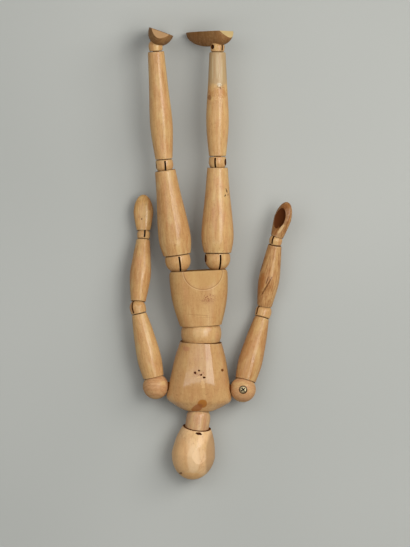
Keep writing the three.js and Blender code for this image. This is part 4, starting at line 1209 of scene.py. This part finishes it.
head_wood = wood(
    "head wood", pale=srgb(227, 186, 136), gloss=0.36, coat=0.35, haze=0.22, ring_weight=0.1,
    streak_weight=0.25, patches=0.6, marks=head_marks,
)
print("marks on the head", len(head_marks))

# %% Carve the head
head = lofted("head_egg", [
    (-HEAD_RIM - EDGE, 2 * HEAD_RIM_RADIUS - EDGE, 2 * HEAD_RIM_RADIUS - EDGE, 0),
    (HEAD_CHEEK[0] / 4, HEAD_JAW, HEAD_JAW, 0),
    (HEAD_CHEEK[0], HEAD_CHEEK[1], HEAD_CHEEK[1], 0),
    (HEAD_WIDEST, HEAD_WIDTH, HEAD_WIDTH, 0),
    *rounded_end(HEAD_WIDEST, HEAD_LENGTH, HEAD_WIDTH, HEAD_WIDTH),
], place["head"], rings=96)
flat = place["head"] @ Matrix.Rotation(math.radians(HEAD_FLAT_TURN), 4, "Y")
flat = shifted(flat, 0, 0, HEAD_WIDTH / 2 - HEAD_FLAT + FLAT_TOOL[2] / 2)
slant = shifted(place["head"], 0, -HEAD_RIM) @ Matrix.Rotation(math.radians(-HEAD_SLANT), 4, "X")
carve(
    head,
    block("flat", FLAT_TOOL, flat),
    block("slant", SLANT_TOOL, shifted(slant, 0, -SLANT_TOOL[1] / 2)),
    sphere("neck socket", NECK_RADIUS + WOOD_GAP, place["head"]),
    cylinder("collar", NECK_RADIUS + WOOD_GAP, -NECK_LENGTH, 0, place["head"], TURNED_SIDES),
    cylinder("neck bore", SPRING_HOLE, 0, NECK_RADIUS + SPRING_SEAT / 2, place["head"]),
)


def in_neck_hole(p):
    """Whether a point of the head lies on its slanted end or in the hole for the neck."""
    slope = math.radians(HEAD_SLANT)
    off = math.cos(slope) * (p.y + HEAD_RIM) - math.sin(slope) * p.z
    in_hole = math.hypot(p.x, p.z) < NECK_RADIUS + 2 * WOOD_GAP and p.y < NECK_RADIUS
    return abs(off) < ON_CUT or in_hole


dress(
    head, "head", "head", place["head"], head_wood, rims=(-HEAD_RIM,), rim_width=0.8,
    tone=-0.16, crease=12, inside=in_neck_hole,
)
print("head faces", len(head.data.polygons))

# %% [markdown]
# Hands
#
# Each hand is a spoon with a hollow palm. The right one lies with its dark hollow up and the left
# one shows its back, with a small peg hole near the wrist, which is not carved but painted on as a
# dark spot of shade. Fingers aren't carved on this figure, so a loft and one oval hollow are all that
# it takes. How each hand lies is a splay, a rise and a turn.

# %% Carve the hands
HAND_LENGTH = 27.0
HAND_RIM = 2.8
HAND_NECK = (8.8, 8.0)
HAND_WIDTH = 13.2
HAND_DEPTH = 7.7
HAND_HEEL = (6.6, 10.8, 7.3)
HAND_WIDEST = 14.5
PALM = (9.0, 14.5, 2.6)
PALM_AT = 15.5
PALM_REACH = 1.03
HAND_LIE = {"left": (-0.4, -4.0, 180.0), "right": (17.5, 8.0, -40.0)}


def towards_feet(splay, rise):
    level = math.cos(math.radians(rise))
    across = math.sin(math.radians(splay)) * level
    return Vector((across, math.cos(math.radians(splay)) * level, math.sin(math.radians(rise))))


def make_hand(side, material):
    splay, rise, palm_turn = HAND_LIE[side]
    turn = math.radians(palm_turn)
    lean = Vector((math.sin(turn), 0, math.cos(turn)))
    where = frame_at(joint_at[f"{side}_hand_bend"], towards_feet(splay, rise), lean)
    hand = lofted(f"{side}_hand_spoon", [
        (HAND_RIM, *HAND_NECK, 0),
        (*HAND_HEEL, 0),
        (HAND_WIDEST, HAND_WIDTH, HAND_DEPTH, 0),
        *rounded_end(HAND_WIDEST, HAND_LENGTH, HAND_WIDTH, HAND_DEPTH),
    ], where)
    hollow_at = shifted(where, 0, PALM_AT, HAND_DEPTH / 2)
    oval = hollow_at @ Matrix.Diagonal((PALM[0] / 2, PALM[1] / 2, PALM[2], 1))
    size = knuckles["wrist"]
    carve(
        hand,
        sphere("palm", 1.0, oval),
        sphere("wrist socket", size.socket, where),
        cylinder("wrist bore", size.bore, 0, size.strap + WOOD_GAP, where),
    )
    dress(
        hand, f"{side}_hand", f"{side}_hand", where, material, rims=(HAND_RIM,), rim_width=0.6,
        tone=0.35 if side == "right" else 0.14, inside=in_palm,
    )


def in_palm(p):
    """Whether a point of a hand lies on the hollow of its palm."""
    across = 2 * p.x / PALM[0]
    along = 2 * (p.y - PALM_AT) / PALM[1]
    down = (p.z - HAND_DEPTH / 2) / PALM[2]
    return across**2 + along**2 + down**2 < PALM_REACH

print("hand", HAND_LENGTH, "mm from the wrist")

# %% Woods of the hands
palm_marks = [
    Mark(at_pixel(280.4, 217.5, 21), (6.2, 10.0, 9), srgb(96, 54, 28), 0.35, 0.5, 420.0, turn=20),
    Mark(at_pixel(280.6, 229.5, 22), (1.1, 4.2, 9), srgb(214, 178, 126), 0.7, 0.5, 400.0, turn=34),
    Mark(at_pixel(276.6, 231, 22), (0.6, 4.0, 9), UMBER, 0.8, 0.5, 500.0, turn=26),
    Mark(at_pixel(289.4, 208, 22), (1.5, 5.5, 9), UMBER, 0.7, 0.5, 500.0, turn=10),
]
palm_wood = wood(
    "palm wood", deep=srgb(138, 88, 48), streak_weight=0.5, patches=0.3, marks=palm_marks,
    inside_colour=srgb(72, 34, 16),
)
# The small peg hole on the back of the left hand is not carved: a dark spot of painted shade stands for it.
hand_hole_shade = Mark(at_pixel(141.8, 219, 12), (0.75, 0.75, 4), GRIME_AND_SHADE, 0.95, 0.15, 1000.0, 0.8)
hand_flush = Mark(at_pixel(149.5, 206, 9), (1.6, 5.0, 6), srgb(170, 96, 58), 0.5, 0.5, 300.0)
hand_wood = wood("hand wood", pale=srgb(214, 170, 106), marks=[hand_hole_shade, hand_flush])
make_hand("left", hand_wood)
make_hand("right", palm_wood)
print("hands made")

# %% [markdown]
# Feet
#
# A foot is half an egg with a flat sole and a slanted cut at the heel. Feet are handled and rubbed
# the most, so the varnish is brown there, and the sawn heel facet is bare and pale. Half an egg could
# be lofted at once, but a whole one cut flat gives the sole a crisp edge, as the saw does.

# %% Carve the feet
FOOT_WIDTH = 17.0
TOE_REACH = 29.5
HEEL_REACH = 12.5
SOLE_DROP = 10.4
FOOT_HEIGHT = 9.8
FOOT_FULLEST = 8.0
HEEL_CUT_ANGLE = 40.0
HEEL_CUT_SOLE = 4.4
UNDER_TOOL = (80, 80, 90)
HEEL_TOOL = (80, 80, 80)


def foot_frame(side):
    """Y to the sole and Z to the toe, from the sole's own face."""
    ankle = joint_at[f"{side}_foot_bend"]
    y = Vector(sole[f"{side}_sole"]["axis"])
    toe = Vector(sole[f"{side}_sole"]["pos_m"]) - ankle - y * SOLE_DROP * MM
    return frame_at(ankle, y, toe)


def make_foot(side, material):
    where = foot_frame(side)
    base = shifted(where, 0, SOLE_DROP)
    foot = lofted(f"{side}_foot_half_egg", [
        (-HEEL_REACH, FOOT_WIDTH * 0.2, FOOT_HEIGHT * 0.9, 0),
        (-HEEL_REACH + EDGE, FOOT_WIDTH * 0.44, FOOT_HEIGHT * 1.1, 0),
        (-HEEL_REACH / 2, FOOT_WIDTH * 0.86, FOOT_HEIGHT * 1.8, 0),
        (FOOT_FULLEST / 2, FOOT_WIDTH * 0.98, FOOT_HEIGHT * 2, 0),
        (FOOT_FULLEST, FOOT_WIDTH, FOOT_HEIGHT * 2, 0),
        *rounded_end(FOOT_FULLEST, TOE_REACH, FOOT_WIDTH, FOOT_HEIGHT * 2),
    ], base @ Matrix.Rotation(math.pi / 2, 4, "X"))
    heel_at = shifted(where, 0, SOLE_DROP - HEEL_CUT_SOLE, -HEEL_REACH)
    heel_at = heel_at @ Matrix.Rotation(math.radians(HEEL_CUT_ANGLE), 4, "X")
    size = knuckles["ankle"]
    carve(
        foot,
        block("below", UNDER_TOOL, shifted(base, 0, UNDER_TOOL[1] / 2)),
        block("heel", HEEL_TOOL, shifted(heel_at, 0, 0, -HEEL_TOOL[2] / 2)),
        sphere("ankle socket", size.socket, where),
        cylinder("ankle bore", size.bore, 0, size.strap + WOOD_GAP, where),
    )
    dress(
        foot, f"{side}_foot", f"{side}_foot", where, material,
        tone=0.1, inside=on_heel_cut,
    )


def on_heel_cut(p):
    """Whether a point of a foot lies on the flat cut at its heel."""
    slope = math.radians(HEEL_CUT_ANGLE)
    off = math.cos(slope) * (p.z + HEEL_REACH) - math.sin(slope) * (p.y - SOLE_DROP + HEEL_CUT_SOLE)
    return abs(off) < ON_CUT


heel_colour = {"left": srgb(178, 140, 100), "right": srgb(204, 178, 126)}
for side in SIDES:
    foot_wood = wood(
        f"{side} foot wood", pale=srgb(150, 109, 68), deep=srgb(112, 77, 45), gloss=0.45, coat=0.1,
        streak_weight=0.3, patches=0.15, inside_colour=heel_colour[side],
    )
    make_foot(side, foot_wood)
print("pieces", len(pieces))

# %% [markdown]
# Pins
#
# Eleven plain pins are alike but for their sizes. They could be turned like the limbs, but what
# repeats is best made by a rule, so one Geometry Nodes tree makes them all: a line from tail to head,
# whose thickness jumps from the shank to a domed head, swept with a circle. Sizes and ends are named
# inputs of the tree.

# %% Helpers for Geometry Nodes trees
def node_tree(name, sockets):
    """An empty Geometry Nodes tree with named inputs and one mesh output."""
    tree = bpy.data.node_groups.new(name, "GeometryNodeTree")
    for label, kind in sockets:
        tree.interface.new_socket(label, in_out="INPUT", socket_type=kind)
    tree.interface.new_socket("Mesh", in_out="OUTPUT", socket_type="NodeSocketGeometry")
    return tree, tree.nodes.new("NodeGroupInput"), tree.nodes.new("NodeGroupOutput")


def grow(tree, kind, inputs, **settings):
    """Adds one geometry node. Inputs are links from other sockets, or plain values."""
    node = tree.nodes.new(kind)
    for key, value in settings.items():
        setattr(node, key, value)
    for key, value in inputs.items():
        if isinstance(value, bpy.types.NodeSocket):
            tree.links.new(value, node.inputs[key])
        else:
            node.inputs[key].default_value = value
    return node


def paint_and_finish(tree, last, given, made):
    """Ends a tree: what its instances stand for is made real and gets the finish."""
    real = grow(tree, "GeometryNodeRealizeInstances", {0: last.outputs[0]})
    finish = given.outputs["Finish"]
    painted = grow(tree, "GeometryNodeSetMaterial", {0: real.outputs[0], "Material": finish})
    tree.links.new(painted.outputs[0], made.inputs[0])


print("tree helpers ready")

# %% Build the pin tree
PIN_RINGS = 64
PIN_SIDES = 40
DOME_FALL = 0.8
pin_tree, given, made = node_tree("turned pin", [
    ("Tail", "NodeSocketVector"),
    ("Head", "NodeSocketVector"),
    ("Shank Radius", "NodeSocketFloat"),
    ("Head Radius", "NodeSocketFloat"),
    ("Head Start", "NodeSocketFloat"),
    ("Finish", "NodeSocketMaterial"),
])
line = grow(
    pin_tree, "GeometryNodeCurvePrimitiveLine",
    {"Start": given.outputs["Tail"], "End": given.outputs["Head"]},
)
fine = grow(pin_tree, "GeometryNodeResampleCurve", {"Curve": line.outputs[0], "Count": PIN_RINGS})
along = grow(pin_tree, "GeometryNodeSplineParameter", {})
on_head = grow(
    pin_tree, "ShaderNodeMath",
    {0: along.outputs["Factor"], 1: given.outputs["Head Start"]}, operation="GREATER_THAN",
)
dome = grow(pin_tree, "ShaderNodeMapRange", {
    "Value": along.outputs["Factor"],
    "From Min": given.outputs["Head Start"],
    "To Min": 0.0,
    "To Max": DOME_FALL,
})
square = grow(pin_tree, "ShaderNodeMath", {0: dome.outputs[0], 1: 2.0}, operation="POWER")
left_over = grow(pin_tree, "ShaderNodeMath", {0: 1.0, 1: square.outputs[0]}, operation="SUBTRACT")
rounding = grow(pin_tree, "ShaderNodeMath", {0: left_over.outputs[0]}, operation="SQRT")
head_radius = grow(
    pin_tree, "ShaderNodeMath",
    {0: rounding.outputs[0], 1: given.outputs["Head Radius"]}, operation="MULTIPLY",
)
thickness = grow(
    pin_tree, "GeometryNodeSwitch",
    {"Switch": on_head.outputs[0], "False": given.outputs["Shank Radius"], "True": head_radius.outputs[0]},
    input_type="FLOAT",
)
ring = grow(pin_tree, "GeometryNodeCurvePrimitiveCircle", {"Resolution": PIN_SIDES, "Radius": 1.0})
sweep = grow(pin_tree, "GeometryNodeCurveToMesh", {
    "Curve": fine.outputs[0],
    "Profile Curve": ring.outputs[0],
    "Scale": thickness.outputs[0],
    "Fill Caps": True,
})
paint_and_finish(pin_tree, sweep, given, made)
print("pin tree nodes", len(pin_tree.nodes))

# %% Make the pins
METAL_CREASE = 40


def grown(name, tree, values):
    """An object made by a tree, with its inputs set by name, as a plain mesh."""
    piece = bpy.data.objects.new(name, bpy.data.meshes.new(name))
    scene.collection.objects.link(piece)
    maker = piece.modifiers.new("grow", "NODES")
    maker.node_group = tree
    for item in tree.interface.items_tree:
        if item.in_out == "INPUT":
            maker[item.identifier] = values[item.name]
    flatten(piece)
    return piece


def make_pin(side, kind):
    size = knuckles[kind]
    centre, way = joint_at[f"{side}_{hinge_of[kind]}"], pin_way(side, kind)
    top = size.head_seat + PIN_HEAD_HEIGHT
    name = pin_name(side, kind)
    pin = grown(f"{name}_turned", pin_tree, {
        "Tail": centre - way * size.pin_tail * MM,
        "Head": centre + way * top * MM,
        "Shank Radius": size.pin * MM,
        "Head Radius": size.head * MM,
        "Head Start": (size.pin_tail + size.head_seat) / (size.pin_tail + top),
        "Finish": old_steel,
    })
    seat(pin, name, f"{side}_{kind}", METAL_CREASE)


for side in SIDES:
    for kind in knuckles:
        if not pin_name(side, kind).endswith("screw"):
            make_pin(side, kind)
print("pieces", len(pieces))

# %% [markdown]
# Shoulder screw
#
# The right shoulder was mended with a brass wood screw. There is only one, so it is turned and cut
# directly: its low domed head is turned, and the cross is two notches cut into it. Dirt sits on the
# floor and the walls of the notches. The thread is hidden in the wood and left out.

# %% Make the screw
CROSS_LENGTH = 3.4
CROSS_WIDTH = 0.9
CROSS_DEPTH = 1.2
CROSS_LEAN = Vector((0.8, 0.6, 0))
POINT_LENGTH = 3
HEAD_STEP = 0.2
ON_FLOOR = 0.01


def make_screw():
    size = knuckles["shoulder"]
    way = pin_way("right", "shoulder")
    where = frame_at(joint_at["right_arm_lift"], way, CROSS_LEAN)
    top = size.head_seat + PIN_HEAD_HEIGHT
    neck_at = -size.pin_tail + POINT_LENGTH
    shank = [(size.pin * 0.4, -size.pin_tail), (size.pin, neck_at), (size.pin, size.head_seat)]
    dome = [
        (SCREW_HEAD * math.cos(a), size.head_seat + HEAD_STEP + (PIN_HEAD_HEIGHT - HEAD_STEP) * math.sin(a))
        for a in np.linspace(0, math.pi / 2, 12)[:-1]
    ]
    screw = turned("shoulder_screw_turned", [*shank, (SCREW_HEAD, size.head_seat), *dome], where)
    notch_at = shifted(where, 0, top - CROSS_DEPTH / 2 + HEAD_STEP / 2)
    notches = [
        block("notch", (CROSS_LENGTH, CROSS_DEPTH + HEAD_STEP, CROSS_WIDTH), notch_at),
        block("notch", (CROSS_WIDTH, CROSS_DEPTH + HEAD_STEP, CROSS_LENGTH), notch_at),
    ]
    carve(screw, *notches)
    screw.data.materials.clear()
    screw.data.materials.append(pale_brass)
    screw.data.materials.append(cross_dirt)
    inwards = where.inverted()
    for face in screw.data.polygons:
        middle = inwards @ face.center / MM
        out = math.hypot(middle.x, middle.z)
        on_wall = abs(face.normal.dot(way)) < 0.1
        on_floor = middle.y < top - CROSS_DEPTH + ON_FLOOR
        in_cross = out < CROSS_LENGTH * 0.75 and middle.y > top - CROSS_DEPTH - ON_FLOOR
        face.material_index = int(in_cross and (on_wall or on_floor))
    seat(screw, "right_shoulder_screw", "right_shoulder", METAL_CREASE)


make_screw()
print("screw made")

# %% [markdown]
# Springs
#
# Coil springs inside the wood keep the joints tight. A screw modifier could wind them, but they
# follow a rule, a wire wound on a circle, so a second tree makes them from a spiral: length, radius,
# turns and wire are its inputs. Nobody sees them until the figure is taken apart.

# %% Build the spring tree
COIL_STEPS = 20
WIRE_SIDES = 8
spring_tree, given, made = node_tree("coil spring", [
    ("Turns", "NodeSocketFloat"),
    ("Radius", "NodeSocketFloat"),
    ("Length", "NodeSocketFloat"),
    ("Wire Radius", "NodeSocketFloat"),
    ("Start", "NodeSocketVector"),
    ("Turn", "NodeSocketRotation"),
    ("Finish", "NodeSocketMaterial"),
])
coil = grow(spring_tree, "GeometryNodeCurveSpiral", {
    "Resolution": COIL_STEPS,
    "Rotations": given.outputs["Turns"],
    "Start Radius": given.outputs["Radius"],
    "End Radius": given.outputs["Radius"],
    "Height": given.outputs["Length"],
})
wire = grow(
    spring_tree, "GeometryNodeCurvePrimitiveCircle",
    {"Resolution": WIRE_SIDES, "Radius": given.outputs["Wire Radius"]},
)
wound = grow(
    spring_tree, "GeometryNodeCurveToMesh",
    {"Curve": coil.outputs[0], "Profile Curve": wire.outputs[0], "Fill Caps": True},
)
moved = grow(
    spring_tree, "GeometryNodeTransform",
    {"Geometry": wound.outputs[0], "Translation": given.outputs["Start"], "Rotation": given.outputs["Turn"]},
)
paint_and_finish(spring_tree, moved, given, made)
print("spring tree nodes", len(spring_tree.nodes))

# %% Wind the springs
SPRING_PITCH = 1.6
WIRE_RADIUS = 0.4


def wind(node, body, where, start, length, outer):
    """A spring along the local Y axis of a frame, from a start in millimetres."""
    travel = length - 2 * WIRE_RADIUS
    begin = where @ (Vector((0, start + WIRE_RADIUS, 0)) * MM)
    along = (where.to_3x3() @ Vector((0, 1, 0))).to_track_quat("Z", "X")
    spring = grown(f"{node}_wound", spring_tree, {
        "Turns": travel / SPRING_PITCH,
        "Radius": (outer - WIRE_RADIUS) * MM,
        "Length": travel * MM,
        "Wire Radius": WIRE_RADIUS * MM,
        "Start": begin,
        "Turn": along.to_euler(),
        "Finish": old_steel,
    })
    seat(spring, node, body, METAL_CREASE)


spine_half = WAIST_BALL + SPRING_SEAT / 2
wind("spine_spring", "waist", place["waist"], -spine_half, 2 * spine_half, SPRING_BORE - WOOD_GAP)
neck_reach = NECK_RADIUS + SPRING_SEAT / 4
wind("neck_spring", "neck", place["neck"], -neck_reach, NECK_LENGTH + 2 * neck_reach, SPRING_BORE - WOOD_GAP)
peg_end = SHOULDER_OUT - knuckles["shoulder"].flat - knuckles["shoulder"].peg_length - WOOD_GAP
wind("shoulder_spring", "chest", cross, -peg_end, 2 * peg_end, knuckles["shoulder"].peg)
for side, sign in (("left", 1), ("right", -1)):
    thigh_way = between(f"{side}_hip_swing", f"{side}_knee_bend")
    seats = (
        ("hip", "pelvis", shifted(place["pelvis"], sign * HIP_HALF)),
        ("knee", f"{side}_thigh", frame_at(joint_at[f"{side}_knee_bend"], -thigh_way, UP)),
    )
    for kind, body, where in seats:
        size = knuckles[kind]
        outer = size.bore - STRAP_PLAY / 2
        wind(f"{side}_{kind}_spring", body, where, size.strap + WOOD_GAP, LIMB_SPRING_LENGTH, outer)
print("springs wound, pieces", len(pieces))

# %% [markdown]
# Count the triangles
#
# The last line prints how many triangles all the dressed pieces have together.


print("triangles", sum(len(p.vertices) - 2 for piece in pieces for p in piece.data.polygons))
